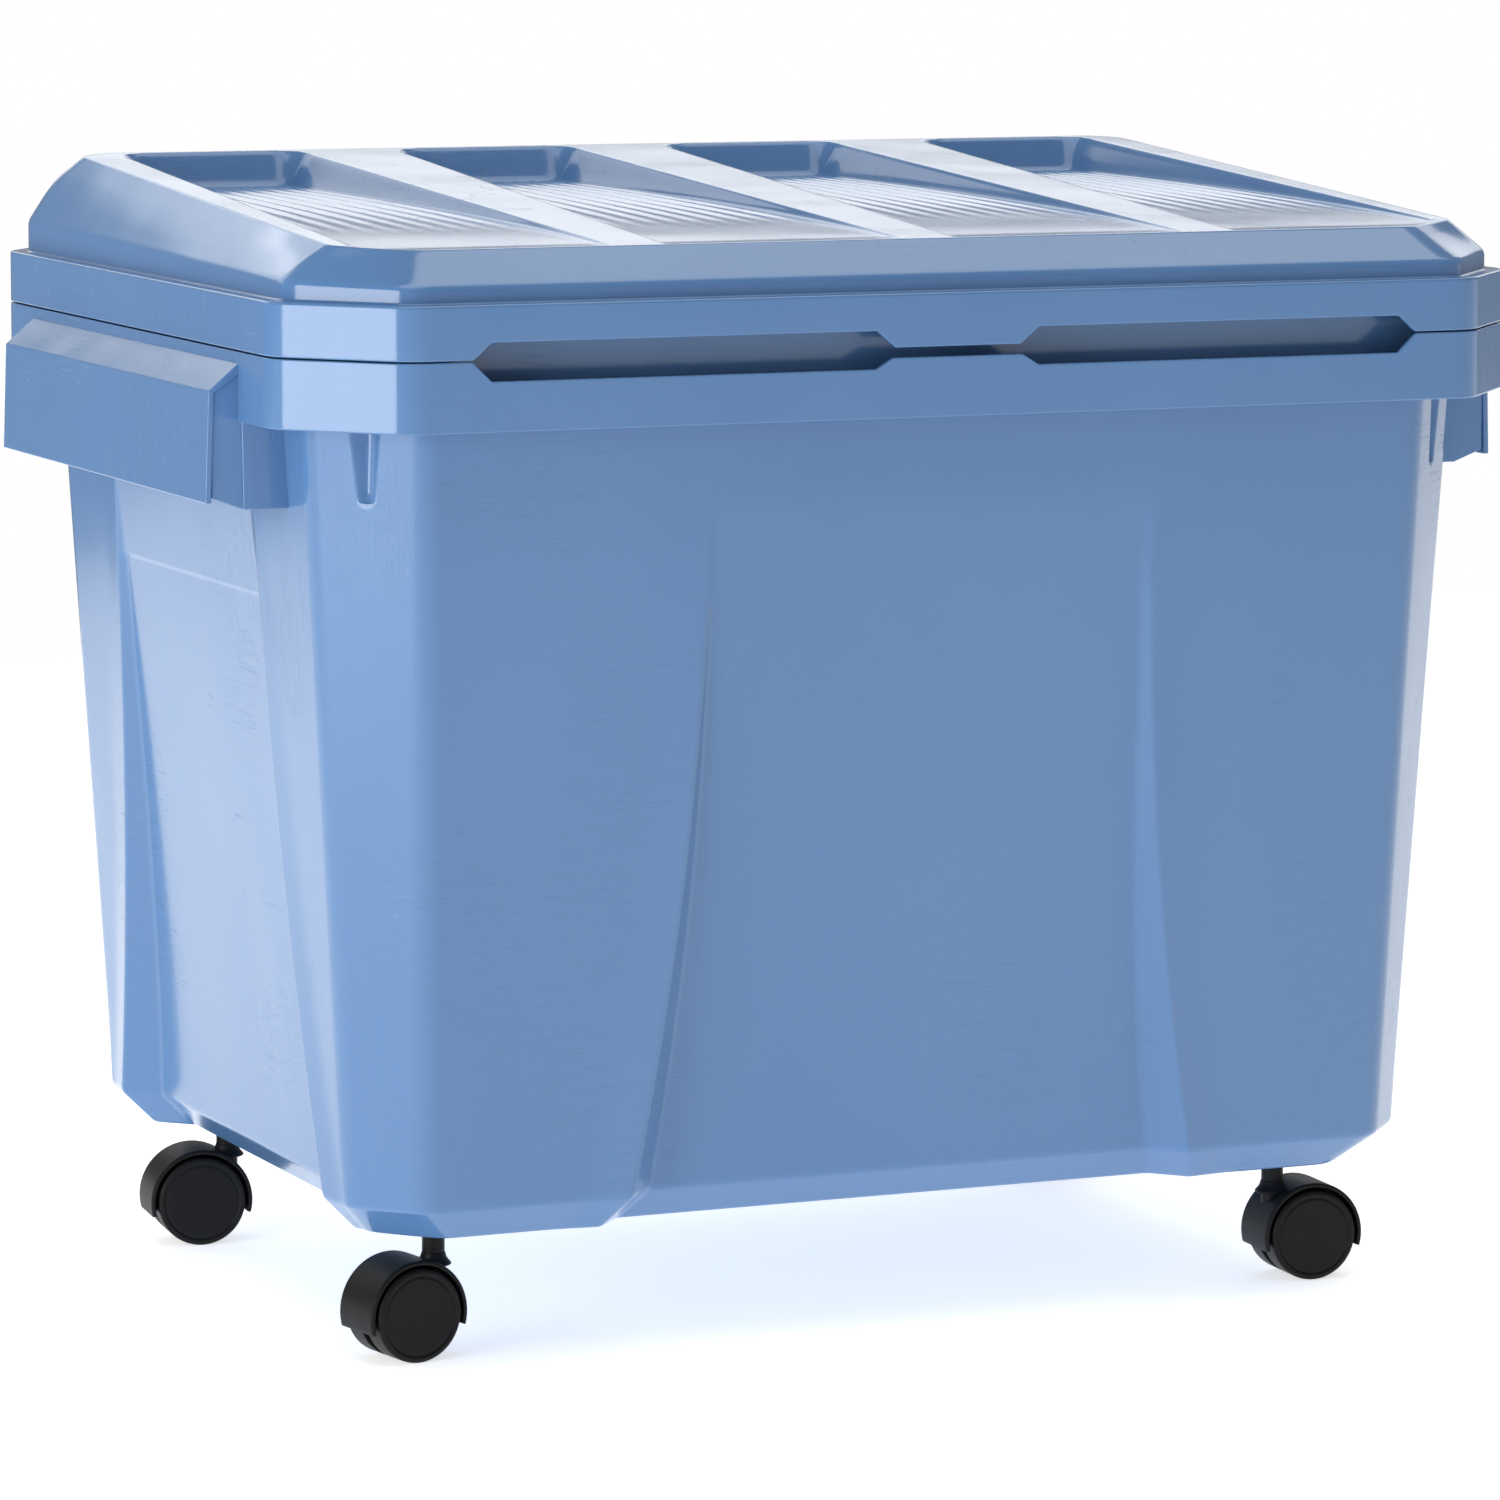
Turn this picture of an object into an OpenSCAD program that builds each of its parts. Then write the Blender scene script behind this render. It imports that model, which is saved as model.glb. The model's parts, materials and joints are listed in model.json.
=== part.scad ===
// Pet food bin: a moulded tub on four twin-wheel casters, with a wedge-topped lid hinged at the back.
// Millimetres. The origin is on the floor under the middle of the bin, the front faces -Y and +Z is up.

/* [Bin] */
// Width over the rim band
bin_w = 570; // [520:5:600]
// Depth over the rim band
bin_d = 435; // [400:5:460]
// Height of the seam between the tub and the lid
seam_z = 425; // [400:5:450]
// Width of a rim corner's diagonal, along X
corner_x = 42; // [34:1:50]
// Width of a rim corner's diagonal, along Y
corner_y = 46; // [38:1:54]
// Thickness of the moulded walls
wall = 2.6; // [2.2:0.1:3.2]

/* [Tub] */
// Height of the tub's downturned rim band
band_h = 29; // [24:1:34]
// How far the wall stands in from the rim band, just under it
wall_inset = 20; // [18:1:24]
// How much the wall leans in for each millimetre of drop
draft = 0.06; // [0.04:0.005:0.07]
// Height of the base's underside
base_z = 56; // [54:1:58]
// Height and inset of the bevel round the base
bevel = 15; // [10:1:18]
// How deep the panels between the corner legs sink at the bottom
panel_sink = 12; // [6:1:15]
// How far the inner lip rises past the seam
lip_rise = 13; // [9:1:15]

/* [Finger recesses] */
// Distance from the middle to a recess's outer tip
recess_out = 215.5; // [200:0.5:222]
// Distance from the middle to a recess's inner tip
recess_in = 28.5; // [24:0.5:40]
// Half the height of a recess
recess_half = 8.5; // [6:0.5:9.5]
// Height of the slit between the two recesses
slit_h = 4; // [2:0.5:6]

/* [Lid] */
// Height of the lid's skirt
skirt_h = 22.5; // [18:0.5:26]
// Width of the ledge round the foot of the dome
ledge = 7.5; // [5:0.5:10]
// Height of the top's front edge over the seam
top_front_h = 43; // [38:1:46]
// Height of the top's back edge over the seam
top_back_h = 66; // [58:1:72]
// Distance between the middles of two neighbouring pockets
pocket_pitch = 131; // [126:1:132]
// Depth of a pocket at its back
pocket_depth = 15; // [8:1:17]

/* [Handles] */
// Length of a side handle
handle_l = 268; // [200:4:280]
// How far a handle stands out from the rim band
handle_out = 13; // [10:1:18]
// Height of a handle's lower edge under the seam
handle_drop = 62; // [55:1:70]

/* [Hinge] */
// Distance from the middle to each hinge
hinge_x = 150; // [120:5:180]
// Radius of a hinge pin
pin_r = 2.5; // [2:0.1:3]
// Width of the lid's hinge knuckle
knuckle_w = 40; // [30:1:50]

/* [Casters] */
// Distance from the middle to a caster's stem, along X
stem_x = 199; // [185:1:205]
// Distance from the middle to a caster's stem, along Y
stem_y = 129; // [115:1:133]
// Radius of a wheel
wheel_r = 20; // [19:0.5:20]
// Distance from the stem's axis to the wheels' axle
trail = 14.5; // [14:0.5:16]
// Directions in which the casters trail: front left, front right, back left, back right
caster_turns = [189.5, -3.3, 173.3, -8]; // [-180:0.1:360]

/* [Hidden] */
$fn = 48;

blue = "cornflowerblue";
black = "#202020";
steel = "silver";

half_w = bin_w / 2;
half_d = bin_d / 2;
rim_cut = [corner_x, corner_y];
seam_gap = 0.5;             // half the open line between tub band and lid skirt
band_top = seam_z - seam_gap;
band_bottom = seam_z - band_h;
corner_r = 18;              // rounding where a corner's diagonal meets the sides
arc_steps = 3;

// ---- tub wall ----
wall_ref_z = seam_z - 40;   // height at which wall_inset is measured
leg_z = base_z + bevel;     // lower edge of the corner legs
floor_z = base_z + 1.5;     // underside of the floor plate
lip_top = seam_z + lip_rise;
sink_top = seam_z - 65;     // height at which the sunk panels run out into the wall
leg_front = [102, 130];     // distance from the middle to a leg's crest, at the top and at the bottom
leg_side = [90, 129];
step_w = 13.5;              // plan width of the step from crest to panel, at full depth
crest_w = 17;               // plan width of the crest's outer slope
crest_h = 2.5;              // how far the crest stands out at the bottom
flange_z = seam_z - 12;     // underside of the web that joins band and wall
flute_z = seam_z - 57;      // where the grooves in the corner facets round off
flute_out = 2.5;            // how far a groove's axis stands out from its facet
flute_top_r = 7.4;
flute_foot_r = 4.6;

// ---- lid ----
lid_bottom = seam_z + seam_gap;
ledge_z = seam_z + skirt_h;
foot_front_z = seam_z + 29.5;    // top of the dome's upright foot, at the front and at the back
foot_back_z = seam_z + 36.5;
top_x = half_w - 27;             // edges of the top plane
top_front_y = -half_d + 27.5;
top_back_y = half_d - 62;
top_front_cut = [31, 21];        // cut corners of the top plane
top_back_cut = [12, 10];
mid_bulge = 6;                   // how far the back slope bulges at its middle
top_slope = (top_back_h - top_front_h) / (top_back_y - top_front_y);
pocket_back_w = 85;
pocket_front_w = 107;
pocket_back_y = top_back_y - 4;
pocket_front_y = top_front_y + 2;
pocket_corner_r = 14;
pocket_draft = 8;

// ---- hinge ----
hinge_y = half_d - 6;
hinge_z = seam_z - 13;
eye_r = 5.5;
lug_w = 6;
hinge_play = 0.5;           // gap between a knuckle's end and its lug
run_fit = 0.06;             // radial clearance where one piece turns on another
notch_w = knuckle_w + 2 * (lug_w + hinge_play) + 6;

// ---- handles ----
plate_t = 2.5;
plate_x = half_w + handle_out;
web_t = 2.5;

// ---- casters ----
shaft_r = 3;
ring_r = 4.1;
collar_r = 4.8;
collar_h = 2.8;
boss_r = 10;
boss_h = 38;
stem_foot_z = 39.4;
neck_top = base_z - collar_h - 0.4;
axle_r = 2;
web_half = 2;               // half the thickness of the hood's middle web
side_gap = 0.4;             // between the middle web and a wheel
hood_half = 13.5;
face_y = 14.2;              // outer face of a wheel
axle_half = 11;
well_r = wheel_r + 1.5;
hood_r = wheel_r + 3.4;
hood_drop = 15;             // degrees by which the hood reaches below the axle at each end
CORNERS = [[-1, -1], [1, -1], [-1, 1], [1, 1]];

// ---------- outlines and skins ----------

function unit(v) = v / norm(v);
function mix(a, b, t) = a + (b - a) * t;
function clamp01(t) = max(0, min(1, t));

// Points of an arc of radius r that rounds corner b between the lines to a and to c
function rounded(a, b, c, r) =
    let (u = unit(a - b), v = unit(c - b), ang = acos(u * v))
    let (mid = b + unit(u + v) * r / sin(ang / 2), start = b + u * r / tan(ang / 2))
    let (a0 = atan2(start[1] - mid[1], start[0] - mid[0]))
    [for (k = [0:arc_steps]) mid + r * [cos(a0 + k * (180 - ang) / arc_steps),
                                        sin(a0 + k * (180 - ang) / arc_steps)]];

// The eight corners of a rectangle with cut corners, counter-clockwise from the front left.
// f and b are the sizes of the front and the back cuts
function cut_rect(x, front, back, f, b) =
    [[f[0] - x, front], [x - f[0], front], [x, front + f[1]], [x, back - b[1]],
     [x - b[0], back], [b[0] - x, back], [-x, back - b[1]], [-x, front + f[1]]];

function vertex(v, i, r) = rounded(v[(i + 7) % 8], v[i], v[(i + 1) % 8], r);

// Outline of a rectangle with cut corners, each corner rounded
function outline(x, front, back, f, b, r) =
    let (v = cut_rect(x, front, back, f, b))
    [for (i = [0:7]) each vertex(v, i, r)];

// The rim band's outline, moved in by an inset
function rim(inset) =
    let (cut = rim_cut - [inset, inset] * 0.5)
    outline(half_w - inset, inset - half_d, half_d - inset, cut, cut, max(corner_r - inset * 0.6, 4));

// Closed skin over a stack of rings with equal point counts, capped by fans round their middles
module skin(rings) {
    n = len(rings[0]);
    m = len(rings);
    mids = [ring_mid(rings[0]), ring_mid(rings[m - 1])];
    points = [each [for (r = rings) each r], each mids];
    sides = [for (k = [0:m - 2], i = [0:n - 1])
        let (a = k * n + i, b = k * n + (i + 1) % n) each [[a, a + n, b + n], [a, b + n, b]]];
    low = [for (i = [0:n - 1]) [m * n, i, (i + 1) % n]];
    high = [for (i = [0:n - 1]) [m * n + 1, (m - 1) * n + (i + 1) % n, (m - 1) * n + i]];
    polyhedron(points, [each sides, each low, each high]);
}

function ring_mid(ring) = [for (k = [0:2]) sum_of([for (p = ring) p[k]]) / len(ring)];
function sum_of(v, i = 0) = i < len(v) ? v[i] + sum_of(v, i + 1) : 0;

// ---------- tub ----------

// How far the tub wall stands in from the rim band at height z, with the base bevel below the legs
function tub_inset(z) = wall_inset + (wall_ref_z - z) * draft + max(0, leg_z - z) * 14 / bevel;

// 0 where the sunk panels run out, 1 at the lower edge of the legs
function sunk(z) = clamp01((sink_top - z) / (sink_top - leg_z));

// One wall's points, as [distance along the wall, distance sunk in]. They stay within reach of the middle
function wall_points(legs, z, reach) =
    let (t = sunk(z), c = min(mix(legs[0], legs[1], t * t) + max(0, leg_z - z) * 0.6, reach - 4))
    let (d = panel_sink * t, s = step_w * max(t, 0.3), b = crest_h * t, half = min(c + crest_w, reach))
    [[-half, 0], [-c, -b], [s - c, d], [c - s, d], [c, -b], [half, 0]];

// Size of a leg's diagonal facet at height z
function leg_cut(z) = rim_cut - [4, 6] - [1, 1] * (seam_z - z) * 0.04;

// The tub wall's outline at height z, moved in by cover for its inner face
function tub_ring(z, cover) =
    let (inset = tub_inset(z) + cover, x = half_w - inset, y = half_d - inset)
    let (cut = leg_cut(z) - [cover, cover] * 0.5, v = cut_rect(x, -y, y, cut, cut))
    let (r = max(12 - (seam_z - z) * 0.016, 5))
    let (front = wall_points(leg_front, z, x - cut[0] - r), side = wall_points(leg_side, z, y - cut[1] - r))
    [for (p = [each [for (q = front) [q[0], q[1] - y]], each vertex(v, 1, r), each vertex(v, 2, r),
               each [for (q = side) [x - q[1], q[0]]], each vertex(v, 3, r), each vertex(v, 4, r),
               each [for (q = front) [-q[0], y - q[1]]], each vertex(v, 5, r), each vertex(v, 6, r),
               each [for (q = side) [q[1] - x, -q[0]]], each vertex(v, 7, r), each vertex(v, 0, r)])
        [p[0], p[1], z]];

// The walls with their flange, and the floor plate that closes them
module tub_shell() {
    levels = [leg_z, leg_z + 35, leg_z + 80, leg_z + 130, leg_z + 190, leg_z + 240, sink_top, lip_top];
    difference() {
        union() {
            skin([for (z = [base_z, each levels]) tub_ring(z, 0)]);
            translate([0, 0, flange_z])
            linear_extrude(wall) polygon(rim(wall / 2));
        }
        flutes(0);
        difference() {
            skin([tub_ring(base_z - 1, wall + 2), for (z = [each levels, lip_top + 5]) tub_ring(z, wall)]);
            flutes(wall);
        }
    }
    translate([0, 0, floor_z])
    linear_extrude(wall) polygon([for (p = tub_ring(floor_z, 0.8)) [p[0], p[1]]]);
}

// Tapered grooves down the legs' diagonal facets, just under the rim band
module flutes(cover) {
    cut = leg_cut(band_bottom);
    inset = tub_inset(band_bottom);
    out = [cut[1], cut[0]] / norm(cut) * flute_out;
    spot = [half_w - inset - cut[0] / 2, half_d - inset - cut[1] / 2] + out;
    for (c = CORNERS) {
        translate([c[0] * spot[0], c[1] * spot[1], flute_z])
        cylinder(r1 = flute_foot_r + cover, r2 = flute_top_r + cover, h = band_bottom - flute_z);
        translate([c[0] * spot[0], c[1] * spot[1], flute_z]) sphere(flute_foot_r + cover);
    }
}

// One finger recess and half of the slit beside it, seen from the front
module recess_shape() {
    slope = recess_half;
    polygon([[recess_in - slope, -slit_h], [recess_in + 1, -slit_h], [recess_in + slope, -recess_half],
             [recess_out - slope, -recess_half], [recess_out, 0], [recess_out - slope, recess_half - 1],
             [recess_in + slope, recess_half - 1], [recess_in, seam_gap], [recess_in - slope, seam_gap]]);
    polygon([[-1, -slit_h], [recess_in, -slit_h], [recess_in, seam_gap], [-1, seam_gap]]);
}

module recess_cut(deep) {
    for (side = [0, 1]) {
        mirror([side, 0, 0])
        translate([0, deep - half_d, seam_z])
        rotate([90, 0, 0])
        linear_extrude(deep + 2) recess_shape();
    }
}

module rim_band() {
    difference() {
        translate([0, 0, band_bottom])
        linear_extrude(band_top - band_bottom) polygon(rim(0));
        translate([0, 0, band_bottom - 1])
        linear_extrude(band_h + 2) polygon(rim(wall));
        recess_cut(wall + 3);
    }
}

// Grip plate hung from the rim band, closed at both ends and open below
module handle() {
    top_z = seam_z - 5;
    bend_z = seam_z - 16;
    low_z = seam_z - handle_drop;
    grip = [[half_w - 2, top_z], [half_w, top_z], [plate_x, bend_z], [plate_x + 1.5, low_z],
            [plate_x + 1.5 - plate_t, low_z], [plate_x - plate_t, bend_z - 1], [half_w - 2, top_z - 3.4]];
    end_web = [[half_w - wall_inset - 4, low_z - 3], [half_w - 2, low_z - 3], [plate_x - 1.5, low_z + 2],
               [plate_x - 1.5, bend_z - 1], [half_w - 1, top_z - 2], [half_w - wall_inset - 1, top_z - 4]];
    translate([0, handle_l / 2, 0])
    rotate([90, 0, 0])
    linear_extrude(handle_l) polygon(grip);
    for (y = [web_t - handle_l / 2, handle_l / 2]) {
        translate([0, y, 0])
        rotate([90, 0, 0])
        linear_extrude(web_t) polygon(end_web);
    }
}

// Two ears that hold a hinge pin, standing in a notch in the band
module hinge_lugs() {
    for (side = [-1, 1]) {
        translate([side * (knuckle_w / 2 + hinge_play + lug_w / 2) - lug_w / 2, 0, 0])
        rotate([90, 0, 90])
        linear_extrude(lug_w) {
            translate([hinge_y, hinge_z]) circle(eye_r);
            polygon([[half_d - wall_inset - 1, hinge_z - 16], [hinge_y, hinge_z - eye_r],
                     [hinge_y, hinge_z + eye_r], [half_d - wall_inset - 1, hinge_z + eye_r]]);
        }
    }
}

module tub() {
    color(blue)
    difference() {
        union() {
            difference() {
                union() {
                    tub_shell();
                    rim_band();
                }
                for (side = [-1, 1]) {
                    translate([side * hinge_x - notch_w / 2, half_d - wall_inset + 4, band_bottom - 4])
                    cube([notch_w, wall_inset, band_h + 8]);
                }
            }
            for (side = [0, 1]) {
                mirror([side, 0, 0]) handle();
            }
            for (side = [-1, 1]) {
                translate([side * hinge_x, 0, 0]) hinge_lugs();
            }
            for (c = CORNERS) {
                translate([c[0] * stem_x, c[1] * stem_y, base_z]) cylinder(r = boss_r, h = boss_h);
            }
        }
        for (side = [-1, 1]) {
            translate([side * hinge_x - notch_w / 2, hinge_y, hinge_z])
            rotate([0, 90, 0]) cylinder(r = pin_r, h = notch_w);
        }
        for (c = CORNERS) {
            translate([c[0] * stem_x, c[1] * stem_y, base_z - 1]) cylinder(r = ring_r, h = boss_h - 2);
        }
    }
}

// ---------- lid ----------

// A ring of the lid: an outline on the plane that passes through its front and back heights
function lid_ring(x, front, back, f, b, r, front_z, back_z) =
    [for (p = outline(x, front, back, f, b, r))
        [p[0], p[1], front_z + (back_z - front_z) * (p[1] - front) / (back - front)]];

// The lid's outer faces, or its inner ones when moved in by cover
function lid_rings(cover, bottom) =
    let (x0 = half_w - cover, y0 = half_d - cover, x1 = x0 - ledge, y1 = y0 - ledge)
    let (x2 = top_x - cover, f2 = top_front_y + cover, b2 = top_back_y - cover)
    let (xm = (x1 + x2) / 2, fm = (f2 - y1) / 2, bm = (b2 + y1) / 2 + mid_bulge)
    let (half = [cover, cover] / 2, cut = rim_cut - half, foot = cut - [4, 4], r = corner_r - cover)
    let (f_cut = top_front_cut - half, b_cut = top_back_cut - half)
    let (f_z = seam_z + top_front_h - cover, b_z = seam_z + top_back_h - cover)
    [lid_ring(x0, -y0, y0, cut, cut, r, bottom, bottom),
     lid_ring(x0, -y0, y0, cut, cut, r, ledge_z - cover, ledge_z - cover),
     lid_ring(x1, -y1, y1, foot, foot, r - 3, ledge_z - cover, ledge_z - cover),
     lid_ring(x1, -y1, y1, foot, foot, r - 3, foot_front_z - cover * 0.4, foot_back_z - cover * 0.4),
     lid_ring(xm, fm, bm, (foot + f_cut) / 2, (foot + b_cut) / 2, 9,
              (foot_front_z + f_z) / 2, (foot_back_z + b_z) / 2 + 3),
     lid_ring(x2, f2, b2, f_cut, b_cut, 6, f_z, b_z)];

function top_z(y) = seam_z + top_front_h + top_slope * (y - top_front_y);

// Outline of a pocket, wider at the front, with rounded back corners
function pocket_outline(inset) =
    let (f = pocket_front_w / 2 - inset * 0.4, b = pocket_back_w / 2 - inset, back = pocket_back_y - inset)
    [[-f, pocket_front_y], [f, pocket_front_y],
     each rounded([f, pocket_front_y], [b, back], [-b, back], pocket_corner_r - inset * 0.5),
     each rounded([b, back], [-b, back], [-f, pocket_front_y], pocket_corner_r - inset * 0.5)];

// The space in a pocket. Its floor meets the top plane at the front edge
module pocket(cover) {
    rise = 4;
    floor_slope = pocket_depth / (pocket_back_y - pocket_front_y);
    drop = cover > 0 ? cover : 0.02;
    skin([[for (p = pocket_outline(pocket_draft - cover))
              [p[0], p[1], top_z(p[1]) - drop - floor_slope * (p[1] - pocket_front_y)]],
          [for (p = pocket_outline(-cover)) [p[0], p[1], top_z(p[1]) + 0.01]],
          [for (p = pocket_outline(-cover)) [p[0], p[1], top_z(p[1]) + rise]]]);
}

module pockets(cover) {
    for (k = [-1.5:1:1.5]) {
        translate([k * pocket_pitch, 0, 0]) pocket(cover);
    }
}

// Knuckle on the lid's back edge, with the arm that carries it
module knuckle() {
    translate([-knuckle_w / 2, 0, 0])
    rotate([90, 0, 90])
    linear_extrude(knuckle_w) {
        translate([hinge_y, hinge_z]) circle(eye_r);
        polygon([[hinge_y + 1.5, hinge_z], [hinge_y + eye_r, hinge_z], [half_d - 0.2, ledge_z - 6],
                 [half_d - 2, ledge_z - 6], [half_d - 4, lid_bottom + 2]]);
    }
}

module lid() {
    color(blue)
    difference() {
        union() {
            difference() {
                skin(lid_rings(0, lid_bottom));
                pockets(0);
                difference() {
                    skin(lid_rings(wall, lid_bottom - 1));
                    pockets(wall);
                }
                recess_cut(wall + 3);
            }
            for (side = [-1, 1]) {
                translate([side * hinge_x, 0, 0]) knuckle();
            }
        }
        for (side = [-1, 1]) {
            translate([side * hinge_x - notch_w / 2, hinge_y, hinge_z])
            rotate([0, 90, 0]) cylinder(r = pin_r + run_fit, h = notch_w);
        }
    }
}

module hinge_pin(side) {
    length = knuckle_w + 2 * (hinge_play + lug_w) + 2;
    color(steel)
    translate([side * hinge_x - length / 2, hinge_y, hinge_z])
    rotate([0, 90, 0]) cylinder(r = pin_r, h = length);
}

// ---------- casters ----------

// Puts a caster's piece at corner i, turned to where that caster trails
module at_caster(i) {
    translate([CORNERS[i][0] * stem_x, CORNERS[i][1] * stem_y, 0])
    rotate([0, 0, caster_turns[i]]) children();
}

// Steel stem: a shaft with a rounded head, a snap groove and a collar that carries the base
module stem(i) {
    top = base_z + boss_h - 4;
    color(steel)
    at_caster(i)
    rotate_extrude()
    polygon([[0, stem_foot_z], [shaft_r - 0.8, stem_foot_z], [shaft_r, stem_foot_z + 0.8],
             [shaft_r, base_z - collar_h], [collar_r, base_z - collar_h], [collar_r, base_z],
             [shaft_r, base_z], [shaft_r, top - 6], [shaft_r - 0.7, top - 5.5], [shaft_r - 0.7, top - 4],
             [shaft_r, top - 3.5], [shaft_r, top - 1.2], [shaft_r - 1.2, top], [0, top]]);
}

// Split sleeve that grips the stem in its socket
module grip_ring(i) {
    height = boss_h - 14;
    color(steel)
    at_caster(i)
    translate([0, 0, base_z + 2])
    difference() {
        cylinder(r = ring_r, h = height);
        translate([0, 0, -1]) cylinder(r = shaft_r, h = height + 2);
        translate([0, -0.6, -1]) cube([ring_r + 1, 1.2, height + 2]);
    }
}

// Side outline of the hood: a round cover cut off below the axle at both ends
module hood_outline() {
    difference() {
        circle(hood_r);
        polygon([[0, -6], [-hood_r * cos(hood_drop) - 3, -hood_r * sin(hood_drop)], [-hood_r * 2, -hood_r * 2],
                 [hood_r * 2, -hood_r * 2], [hood_r * cos(hood_drop) + 3, -hood_r * sin(hood_drop)]]);
    }
}

// Hood over both wheels, with the middle web that holds the axle and the neck that turns on the stem
module hood(i) {
    color(black)
    at_caster(i)
    difference() {
        union() {
            translate([trail, hood_half, wheel_r])
            rotate([90, 0, 0])
            linear_extrude(2 * hood_half) hood_outline();
            translate([0, 0, wheel_r + 8]) cylinder(r = collar_r, h = neck_top - wheel_r - 8);
        }
        for (side = [-1, 1]) {
            translate([trail, side * (web_half + 20), wheel_r])
            rotate([90, 0, 0]) cylinder(r = well_r, h = 40, center = true);
        }
        translate([0, 0, stem_foot_z - 0.3]) cylinder(r = shaft_r + run_fit, h = 30);
        translate([trail, 0, wheel_r])
        rotate([90, 0, 0]) cylinder(r = axle_r, h = 40, center = true);
    }
}

module axle(i) {
    color(steel)
    at_caster(i)
    translate([trail, axle_half, wheel_r])
    rotate([90, 0, 0]) cylinder(r = axle_r, h = 2 * axle_half);
}

// Wheel: a cup with a flat, rimmed outer face, a hollow inner side and a hub with a blind bore
module wheel(i, side) {
    inner = web_half + side_gap;
    color(black)
    at_caster(i)
    translate([trail, 0, wheel_r])
    rotate([side * -90, 0, 0])
    rotate_extrude()
    polygon([[axle_r + run_fit, inner], [5, inner], [5, face_y - 3.4], [wheel_r - 3, face_y - 3.4],
             [wheel_r - 3, inner], [wheel_r - 0.6, inner], [wheel_r, inner + 0.6],
             [wheel_r, face_y - 1.4], [wheel_r - 1.2, face_y - 0.2], [wheel_r - 2, face_y],
             [wheel_r - 2.6, face_y], [wheel_r - 3, face_y - 0.4], [0, face_y - 0.4],
             [0, axle_half + 0.5], [axle_r + run_fit, axle_half + 0.5]]);
}

tub();
lid();
hinge_pin(-1);  // hinge_pin_left
hinge_pin(1);  // hinge_pin_right
stem(0);  // stem_fl
grip_ring(0);  // grip_ring_fl
hood(0);  // hood_fl
axle(0);  // axle_fl
wheel(0, 1);  // wheel_outer_fl
wheel(0, -1);  // wheel_inner_fl
stem(1);  // stem_fr
grip_ring(1);  // grip_ring_fr
hood(1);  // hood_fr
axle(1);  // axle_fr
wheel(1, -1);  // wheel_outer_fr
wheel(1, 1);  // wheel_inner_fr
stem(2);  // stem_bl
grip_ring(2);  // grip_ring_bl
hood(2);  // hood_bl
axle(2);  // axle_bl
wheel(2, -1);  // wheel_outer_bl
wheel(2, 1);  // wheel_inner_bl
stem(3);  // stem_br
grip_ring(3);  // grip_ring_br
hood(3);  // hood_br
axle(3);  // axle_br
wheel(3, 1);  // wheel_outer_br
wheel(3, -1);  // wheel_inner_br
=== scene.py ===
"""A pet food bin on casters: a moulded tub and a hinged, wedge-topped lid of glossy blue polypropylene."""
import json
import math

import bpy
import numpy as np
from mathutils import Matrix, Vector


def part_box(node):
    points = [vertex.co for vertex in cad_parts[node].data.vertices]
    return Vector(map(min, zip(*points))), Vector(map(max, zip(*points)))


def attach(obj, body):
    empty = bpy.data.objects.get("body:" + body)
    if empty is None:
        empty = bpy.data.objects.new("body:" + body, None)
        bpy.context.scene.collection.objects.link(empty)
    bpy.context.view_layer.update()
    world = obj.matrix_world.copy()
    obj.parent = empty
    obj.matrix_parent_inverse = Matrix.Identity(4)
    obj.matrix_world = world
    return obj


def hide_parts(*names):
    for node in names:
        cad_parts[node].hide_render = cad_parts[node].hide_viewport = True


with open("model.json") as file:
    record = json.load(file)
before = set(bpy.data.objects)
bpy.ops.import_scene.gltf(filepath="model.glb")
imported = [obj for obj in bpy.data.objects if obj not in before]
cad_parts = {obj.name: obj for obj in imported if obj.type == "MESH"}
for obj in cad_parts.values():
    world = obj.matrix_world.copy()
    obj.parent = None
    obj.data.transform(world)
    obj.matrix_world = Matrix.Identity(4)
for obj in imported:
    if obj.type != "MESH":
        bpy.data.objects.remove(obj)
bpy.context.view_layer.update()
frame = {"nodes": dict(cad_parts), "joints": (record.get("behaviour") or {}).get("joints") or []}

# ---------------------------------------------------------------------------------------------------
# Camera: a little above the lid, in front of the bin and to its left, with a long lens. Its place is in
# metres and its angles in degrees: yaw from straight ahead, pitch below level, roll about its own axis.
# ---------------------------------------------------------------------------------------------------
CAMERA_PLACE = (-1.2413, -2.8136, 0.6491)
CAMERA_YAW = 23.85
CAMERA_PITCH = 7.77
CAMERA_ROLL = 0.213
CAMERA_LENS = 167.6
CAMERA_SENSOR = 36
CAMERA_SIGHT = 40

lens = bpy.data.cameras.new("camera")
lens.lens, lens.sensor_width, lens.clip_end = CAMERA_LENS, CAMERA_SENSOR, CAMERA_SIGHT
camera = bpy.data.objects.new("camera", lens)
camera.matrix_world = (Matrix.Translation(CAMERA_PLACE)
                       @ Matrix.Rotation(math.radians(-CAMERA_YAW), 4, "Z")
                       @ Matrix.Rotation(math.radians(90 - CAMERA_PITCH), 4, "X")
                       @ Matrix.Rotation(math.radians(CAMERA_ROLL), 4, "Z"))
bpy.context.collection.objects.link(camera)
bpy.context.scene.camera = camera

# ---------------------------------------------------------------------------------------------------
# Studio: a pale floor that glows a little, as a lit sweep does, and ends a little behind the bin, where it
# meets a surround that the camera sees as white. Soft boxes stand to the left, above and behind, and one
# washes the floor behind the left side. Watts are lamp power.
# ---------------------------------------------------------------------------------------------------
FLOOR_REACH, FLOOR_BACK = 12.0, 2.2
FLOOR_COLOUR = (0.92, 0.92, 0.92, 1)
FLOOR_ROUGHNESS = 0.9
FLOOR_GLOW = 0.64
SURROUND_LIGHT, SURROUND_SEEN = 0.24, 1.0

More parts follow.
